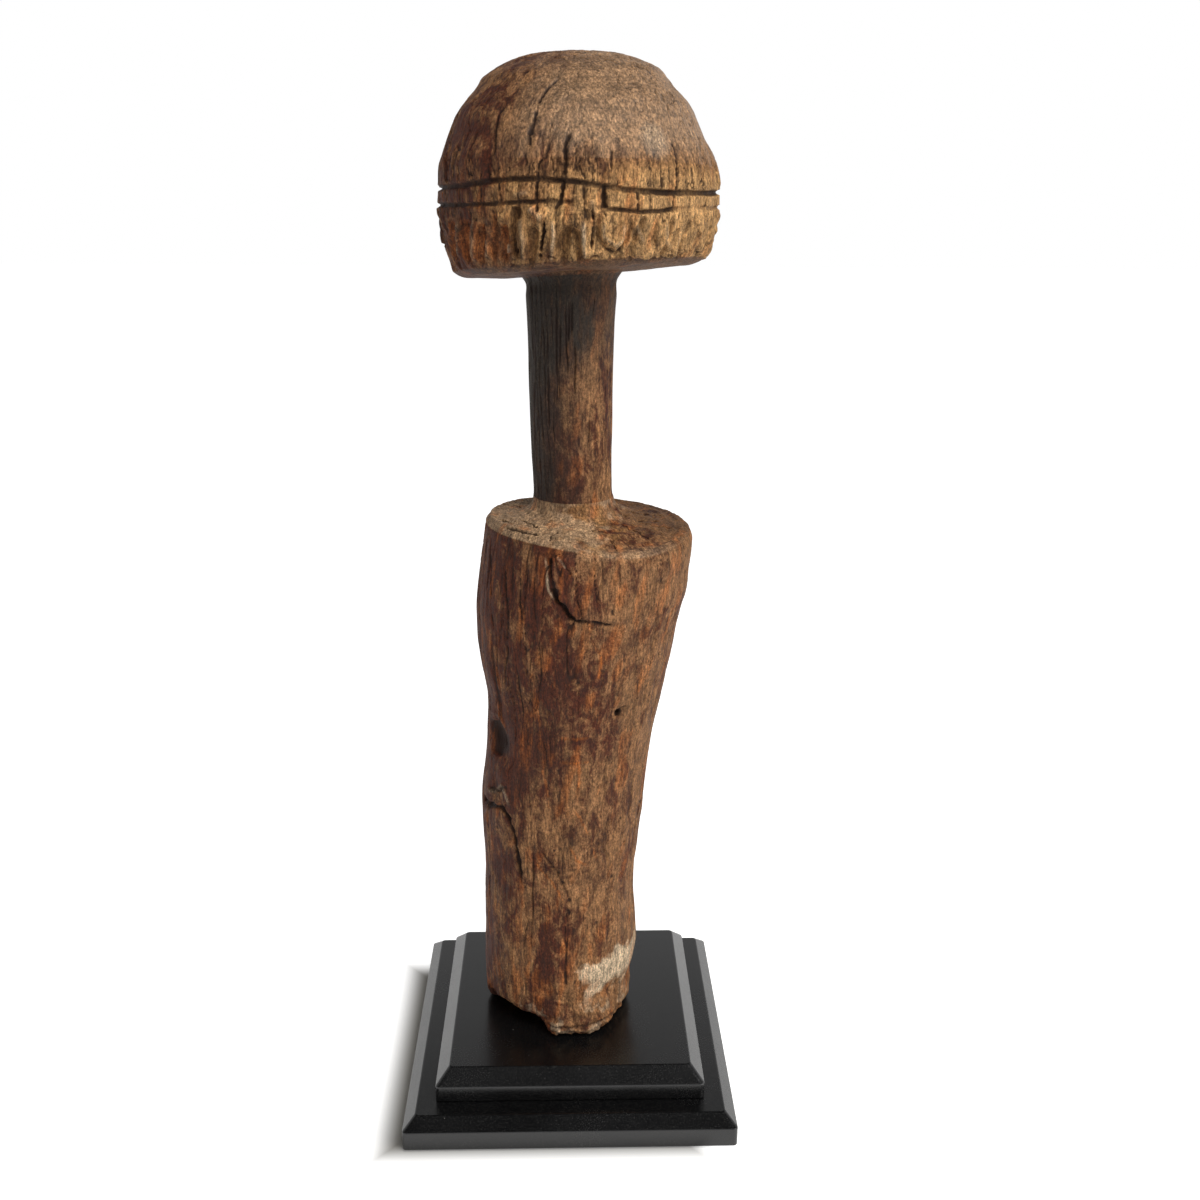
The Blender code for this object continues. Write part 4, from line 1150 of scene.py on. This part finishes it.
def black_paint(settings):
    """Satin black paint over sanded wood, with brush-fine specks and a little dust."""
    paint = Finish("satin_black_paint")
    cloud = paint.noise(26, 26, 3, 0.6)
    peel = paint.noise(1700, 1700, 2, 0.6)
    drag = paint.noise(140, 900, 3, 0.6)
    dust = paint.cells(260)
    where = paint.noise(60, 60, 2, 0.5)
    motes, where = paint.ramp(dust, 0.05, 0.09, 1, 0), paint.ramp(where, 0.52, 0.68)
    speckles = paint.sum("MULTIPLY", motes, where)
    colour = paint.mix(paint.ramp(cloud, 0.3, 0.7), settings.paint, settings.paint_worn)
    colour = paint.mix(paint.ramp(peel, 0.45, 0.8, 0, 0.09), colour, settings.dust)
    colour = paint.mix(paint.sum("MULTIPLY", speckles, 0.5), colour, settings.dust)
    paint.join(colour, paint.surface.inputs["Base Color"])
    satin = paint.ramp(cloud, 0.3, 0.7, 0.17, 0.24)
    roughness = paint.sum("ADD", satin, paint.ramp(peel, 0.35, 0.65, -0.02, 0.05))
    paint.join(roughness, paint.surface.inputs["Roughness"])
    paint.surface.inputs["Specular IOR Level"].default_value = settings.gloss
    paint.bumps((peel, 0.007), (drag, 0.008))
    return paint.material


def brushed_metal(name, colour, roughness):
    """Machined metal with fine turning marks and a little tarnish."""
    metal = Finish(name)
    marks = metal.noise(300, 5200, 3, 0.6)
    tarnish = metal.noise(130, 130, 4, 0.6)
    dull = tuple(part * 0.55 for part in colour)
    colour = metal.mix(metal.ramp(tarnish, 0.45, 0.75, 0, 0.7), colour, dull)
    metal.join(colour, metal.surface.inputs["Base Color"])
    metal.surface.inputs["Metallic"].default_value = 1.0
    rough = metal.sum("ADD", metal.ramp(marks, 0.3, 0.7, roughness - 0.06, roughness + 0.08),
                      metal.ramp(tarnish, 0.45, 0.75, 0, 0.2))
    metal.join(rough, metal.surface.inputs["Roughness"])
    metal.bumps((marks, 0.01))
    return metal.material


def felt_cloth(settings):
    """Pressed black felt, matted and a little fluffy."""
    felt = Finish("pressed_felt")
    fluff = felt.noise(2600, 2600, 4, 0.75, 1.5)
    mat = felt.noise(700, 700, 4, 0.7)
    grey = tuple(part * 2.6 for part in settings.felt)
    colour = felt.mix(felt.ramp(fluff, 0.35, 0.7), settings.felt, grey)
    felt.join(colour, felt.surface.inputs["Base Color"])
    set_inputs(felt.surface, Roughness=0.95, Sheen_Weight=0.5)
    felt.bumps((mat, 0.15), (fluff, 0.12))
    return felt.material


def give(name, material):
    """Puts a finish on a carried-over node."""
    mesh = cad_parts[name].data
    mesh.materials.clear()
    mesh.materials.append(material)


# ---------------------------------------------------------------------------
# Settings
# ---------------------------------------------------------------------------


def colour_setting(name, description, default):
    return FloatVectorProperty(name=name, description=description, default=default, subtype="COLOR",
                               size=3, min=0, max=1)


def power_setting(name, description, default):
    return FloatProperty(name=name, description=description, default=default, min=0, unit="POWER")


class FigureSettings(bpy.types.PropertyGroup):
    columns: IntProperty(name="Columns", description="Points round the figure", default=640, min=96)
    seed: IntProperty(name="Grain seed", description="Which set of random cracks is cut", default=7, min=0)
    # Heartwood is painted on the side away from the key light and tan wood on the side facing it: painted
    # shade and light, broken by random blotches.
    heart: colour_setting("Heartwood", "Reddish wood on the sheltered side", shade(76, 37, 22))
    tan: colour_setting("Tan wood", "Wood that the light has turned tan", shade(138, 98, 63))
    # Partly a painted sheen on the lit right of the dome.
    handled_sheen: colour_setting("Handled wood", "Grey-tan sheen where hands have rubbed", shade(148, 118, 88))
    # Used mostly on the lit side of the lower head, so it is painted light as well as the wood's golden
    # colour.
    golden: colour_setting("Golden wood", "Dry golden wood of the lower head", shade(186, 140, 84))
    # Also the colour of the painted highlights on ribs, lips and the dome, and of the paler lit side of the
    # lower head.
    bleached_and_highlight: colour_setting("Bleached wood", "Dry pale wood at the foot", shade(214, 188, 154))
    ember: colour_setting("Fresh wood", "Bright wood where the surface has flaked", shade(176, 98, 40))
    # The colour of the painted shade on the neck, under the head and on the body's left.
    shade_dark: colour_setting("Soot", "Smoke and soil on the neck", shade(46, 38, 31))
    # The colour of the painted shade in the cuts, and of the dark pores in the grain.
    pores_and_cut_shade: colour_setting("Crevice", "The dark bottom of cracks", shade(34, 20, 14))


class PlinthSettings(bpy.types.PropertyGroup):
    gloss: FloatProperty(name="Paint gloss", description="How strongly the paint reflects", default=0.5,
                         min=0, max=1, subtype="FACTOR")
    paint: colour_setting("Black paint", "The paint's own colour", shade(8, 8, 9))
    paint_worn: colour_setting("Rubbed paint", "The paint where it is rubbed thin", shade(12, 12, 13))
    dust: colour_setting("Dust", "Dust caught in the paint", shade(120, 118, 112))
    steel: colour_setting("Steel", "The metal of the pins and their washer", shade(170, 168, 164))
    zinc: colour_setting("Zinc", "The plating of the nut and screws", shade(186, 188, 184))
    felt: colour_setting("Felt", "The pads under the plinth", shade(30, 30, 31))
    felt_crown: FloatProperty(name="Felt rounding", description="How far a pad's edge is rounded",
                              default=0.0004, unit="LENGTH", min=0)


class StageSettings(bpy.types.PropertyGroup):
    key: power_setting("Key light", "Power of the big light on the right", 15.0)
    fill: power_setting("Fill light", "Power of the light on the left", 1.5)
    top: power_setting("Top light", "Power of the light high in front", 11.0)
    back: power_setting("Back light", "Power of the faint light behind the figure", 2.5)
    bounce: power_setting("Bounced light", "Power of the light that comes up off the floor", 2.6)
    # The floor's glow at the plinth's edge, inside its painted shadow.
    glow_in_floor_shadow: FloatProperty(name="Floor glow", description="Light that the floor gives off itself",
                              default=0.02, min=0)


# ---------------------------------------------------------------------------
# Operators
# ---------------------------------------------------------------------------


def new_object(name, mesh):
    made = bpy.data.objects.new(name, mesh)
    bpy.context.scene.collection.objects.link(made)
    return made


class FIGURE_OT_carve(bpy.types.Operator):
    """Carve the figure's skin from its outline and give it the weathered wood"""

    bl_idname = "figure.carve"
    bl_label = "Carve figure"

    def execute(self, context):
        settings = context.scene.figure_settings
        rng = np.random.default_rng(settings.seed)
        block = Block(settings.columns)
        shape_broadly(block)
        block.settle()
        carve_body(block, rng)
        carve_shoulder(block, rng)
        carve_head(block, rng)
        stain(block)
        figure = new_object("carved_figure", mesh_of("carved_figure", block))
        figure.data.materials.append(old_wood(settings))
        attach(figure, "carving")
        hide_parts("figure")
        return {"FINISHED"}


class FIGURE_OT_finish_plinth(bpy.types.Operator):
    """Paint the two tiers of the plinth satin black"""

    bl_idname = "figure.finish_plinth"
    bl_label = "Finish plinth"

    def execute(self, context):
        paint = black_paint(context.scene.plinth_settings)
        for name in ("plinth_lower", "plinth_upper"):
            give(name, paint)
        return {"FINISHED"}


class FIGURE_OT_finish_hardware(bpy.types.Operator):
    """Give the pins, washer, nut and screws their metal"""

    bl_idname = "figure.finish_hardware"
    bl_label = "Finish hardware"

    def execute(self, context):
        settings = context.scene.plinth_settings
        steel = brushed_metal("turned_steel", settings.steel, 0.32)
        zinc = brushed_metal("zinc_plate", settings.zinc, 0.38)
        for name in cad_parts:
            if "pin" in name and "nut" not in name:
                give(name, steel)
            elif "nut" in name or "screw" in name:
                give(name, zinc)
        return {"FINISHED"}


class FIGURE_OT_felt_pads(bpy.types.Operator):
    """Press a soft-edged felt pad in place of each plain one"""

    bl_idname = "figure.felt_pads"
    bl_label = "Felt pads"

    def execute(self, context):
        settings = context.scene.plinth_settings
        cloth = felt_cloth(settings)
        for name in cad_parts:
            if "pad" not in name:
                continue
            low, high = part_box(name)
            pad = new_object("soft_" + name, felt_disc("soft_" + name, low, high, settings.felt_crown))
            pad.data.materials.append(cloth)
            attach(pad, "stand")
            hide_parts(name)
        return {"FINISHED"}


def felt_disc(name, low, high, crown):
    """A closed disc of felt with rounded edges and a faintly lumpy rim."""
    middle = (low + high) / 2
    radius, thick = (high.x - low.x) / 2, high.z - low.z
    arc = [math.radians(angle) for angle in range(0, 91, 18)]
    outline = [(radius * share, 0) for share in (0.35, 0.7)]
    outline += [(radius - crown * (1 - math.sin(turn)), crown * (1 - math.cos(turn))) for turn in arc]
    outline += [(radius - crown * (1 - math.cos(turn)), thick - crown * (1 - math.sin(turn))) for turn in arc]
    outline += [(radius * share, thick) for share in (0.7, 0.35)]
    columns = 96
    made = bmesh.new()
    rows = []
    for reach, height in outline:
        row = []
        for number in range(columns):
            turn = FULL_TURN * number / columns
            lump = 1 - 0.012 * (1 + math.sin(7 * turn + 1.3) * math.cos(11 * turn)) * reach / radius
            spot = (middle.x + reach * lump * math.cos(turn), middle.y + reach * lump * math.sin(turn))
            row.append(made.verts.new((*spot, low.z + height)))
        rows.append(row)
    for below, above in zip(rows[:-1], rows[1:]):
        for number in range(columns):
            after = (number + 1) % columns
            made.faces.new((below[number], below[after], above[after], above[number]))
    made.faces.new(rows[0][::-1])
    made.faces.new(rows[-1])
    mesh = bpy.data.meshes.new(name)
    made.to_mesh(mesh)
    made.free()
    mesh.shade_smooth()
    return mesh


CAMERA_PLACE = (-0.0019, -0.5422, 0.4132)
CAMERA_TURN = (math.pi / 2 - 0.3177, 0.0066, -0.0288)
LENS, SENSOR = 38.4, 36.0
FLOOR_REACH = 6.0
# Round the plinth, offset to the left and front, the floor is painted darker and glows less between these two
# distances: a painted shadow.
PAINTED_SHADOW_INNER, PAINTED_SHADOW_OUTER = 0.063, 0.081
PAINTED_SHADOW_SHIFT_X, PAINTED_SHADOW_SHIFT_Y = 0.014, 0.006
FLOOR_SHADOW_AND_WHITES = shade(146, 142, 134), shade(214, 212, 208), shade(220, 218, 214)
FLOOR_WHITE = 1.02
LIT_HEIGHT = 0.24
BOUNCE_HEIGHT, BOUNCE_SIZE = 0.001, 1.1
# Each light's name, place and size, and whether the paint mirrors it.
LIGHTS = (
    ("key", (1.15, -0.95, 0.95), 0.9, True),
    ("fill", (-1.2, -0.9, 0.7), 1.2, True),
    ("top", (0.25, -0.85, 1.35), 0.7, False),
    ("back", (-0.35, 1.25, 0.85), 0.9, False),
)


class FIGURE_OT_set_stage(bpy.types.Operator):
    """Lay the pale floor, hang the soft lights and set up the camera"""

    bl_idname = "figure.set_stage"
    bl_label = "Set stage"

    def execute(self, context):
        settings = context.scene.stage_settings
        set_camera(context.scene)
        lay_floor(settings.glow_in_floor_shadow)
        set_world(context.scene)
        middle = Vector((0, 0, LIT_HEIGHT))
        for name, place, size, mirrored in LIGHTS:
            hang_light(name + "_light", getattr(settings, name), place, size, middle, mirrored)
        place, up = (0, 0, BOUNCE_HEIGHT), Vector((0, 0, 1))
        hang_light("bounce_light", settings.bounce, place, BOUNCE_SIZE, up, False)
        context.scene.view_settings.view_transform = "Standard"
        return {"FINISHED"}


def set_camera(scene):
    data = bpy.data.cameras.new("camera")
    data.lens, data.sensor_width = LENS, SENSOR
    camera = new_object("camera", data)
    camera.location = CAMERA_PLACE
    pitch, roll, yaw = CAMERA_TURN
    sway = Euler((0, 0, yaw)).to_matrix()
    turn = sway @ Euler((pitch, 0, 0)).to_matrix() @ Euler((0, 0, roll)).to_matrix()
    camera.rotation_euler = turn.to_euler()
    scene.camera = camera


def lay_floor(glow):
    made = bmesh.new()
    corners = (-1, -1), (1, -1), (1, 1), (-1, 1)
    made.faces.new([made.verts.new((x * FLOOR_REACH, y * FLOOR_REACH, 0)) for x, y in corners])
    mesh = bpy.data.meshes.new("floor")
    made.to_mesh(mesh)
    made.free()
    floor = new_object("floor", mesh)
    white = Finish("white_floor")
    mottle = white.noise(6, 6, 2, 0.5)
    # The first colour is the painted shadow beside the plinth; the others mottle the white floor.
    near, *far = FLOOR_SHADOW_AND_WHITES
    colour = white.mix(white.ramp(mottle, 0.3, 0.7), *far)
    set_inputs(white.surface, Roughness=0.9, Specular_IOR_Level=0.0, Emission_Color=(1, 1, 1, 1))
    split = white.add("ShaderNodeSeparateXYZ")
    white.join(white.place, split.inputs["Vector"])
    side, depth = (
        white.sum("ABSOLUTE", white.sum("ADD", split.outputs[axis], shift), 0.0)
        for axis, shift in (("X", PAINTED_SHADOW_SHIFT_X), ("Y", PAINTED_SHADOW_SHIFT_Y))
    )
    away = white.sum("MAXIMUM", side, depth)
    # Near the plinth both the colour and the glow drop: a painted shadow.
    colour = white.mix(white.ramp(away, PAINTED_SHADOW_INNER, PAINTED_SHADOW_OUTER), near, colour)
    white.join(colour, white.surface.inputs["Base Color"])
    spread = white.ramp(away, PAINTED_SHADOW_INNER, PAINTED_SHADOW_OUTER, glow, FLOOR_WHITE)
    white.join(spread, white.surface.inputs["Emission Strength"])
    mesh.materials.append(white.material)
    floor.visible_diffuse = False


def set_world(scene):
    """A white backdrop that greys overhead, as a studio's ceiling does."""
    world = bpy.data.worlds.new("studio")
    world.use_nodes = True
    tree = world.node_tree
    back = tree.nodes["Background"]
    where = tree.nodes.new("ShaderNodeTexCoord")
    split = tree.nodes.new("ShaderNodeSeparateXYZ")
    fade = tree.nodes.new("ShaderNodeMapRange")
    fade.interpolation_type = "SMOOTHSTEP"
    tree.links.new(where.outputs["Generated"], split.inputs["Vector"])
    tree.links.new(split.outputs["Z"], fade.inputs["Value"])
    set_inputs(fade, From_Min=0.42, From_Max=0.78, To_Min=1.0, To_Max=0.05)
    tree.links.new(fade.outputs["Result"], back.inputs["Strength"])
    back.inputs["Color"].default_value = (1, 1, 1, 1)
    world.cycles_visibility.diffuse = False
    scene.world = world


def hang_light(name, power, place, size, target, mirrored):
    data = bpy.data.lights.new(name, "AREA")
    data.energy, data.size = power, size
    light = new_object(name, data)
    light.location = place
    light.rotation_euler = (target - Vector(place)).to_track_quat("-Z", "Y").to_euler()
    light.visible_camera = False
    light.visible_glossy = mirrored
    return light


class FIGURE_PT_panel(bpy.types.Panel):
    """The figure's pieces, in the order in which they are made"""

    bl_idname = "FIGURE_PT_panel"
    bl_label = "Carved figure"
    bl_space_type = "VIEW_3D"
    bl_region_type = "UI"
    bl_category = "Figure"

    def draw(self, context):
        for operator in OPERATORS:
            self.layout.operator(operator.bl_idname)
        for group in ("figure_settings", "plinth_settings", "stage_settings"):
            settings = getattr(context.scene, group)
            box = self.layout.box()
            for key in settings.bl_rna.properties.keys():
                if key not in ("rna_type", "name"):
                    box.prop(settings, key)


OPERATORS = (
    FIGURE_OT_set_stage,
    FIGURE_OT_carve,
    FIGURE_OT_finish_plinth,
    FIGURE_OT_finish_hardware,
    FIGURE_OT_felt_pads,
)
GROUPS = {
    "figure_settings": FigureSettings,
    "plinth_settings": PlinthSettings,
    "stage_settings": StageSettings,
}


def register():
    for kind in (*GROUPS.values(), *OPERATORS, FIGURE_PT_panel):
        bpy.utils.register_class(kind)
    for name, group in GROUPS.items():
        setattr(bpy.types.Scene, name, PointerProperty(type=group))


def unregister():
    for name in GROUPS:
        delattr(bpy.types.Scene, name)
    for kind in (FIGURE_PT_panel, *reversed(OPERATORS), *GROUPS.values()):
        bpy.utils.unregister_class(kind)


def main():
    register()
    bpy.ops.figure.set_stage()
    bpy.ops.figure.carve()
    bpy.ops.figure.finish_plinth()
    bpy.ops.figure.finish_hardware()
    bpy.ops.figure.felt_pads()


if __name__ == "__main__":
    main()
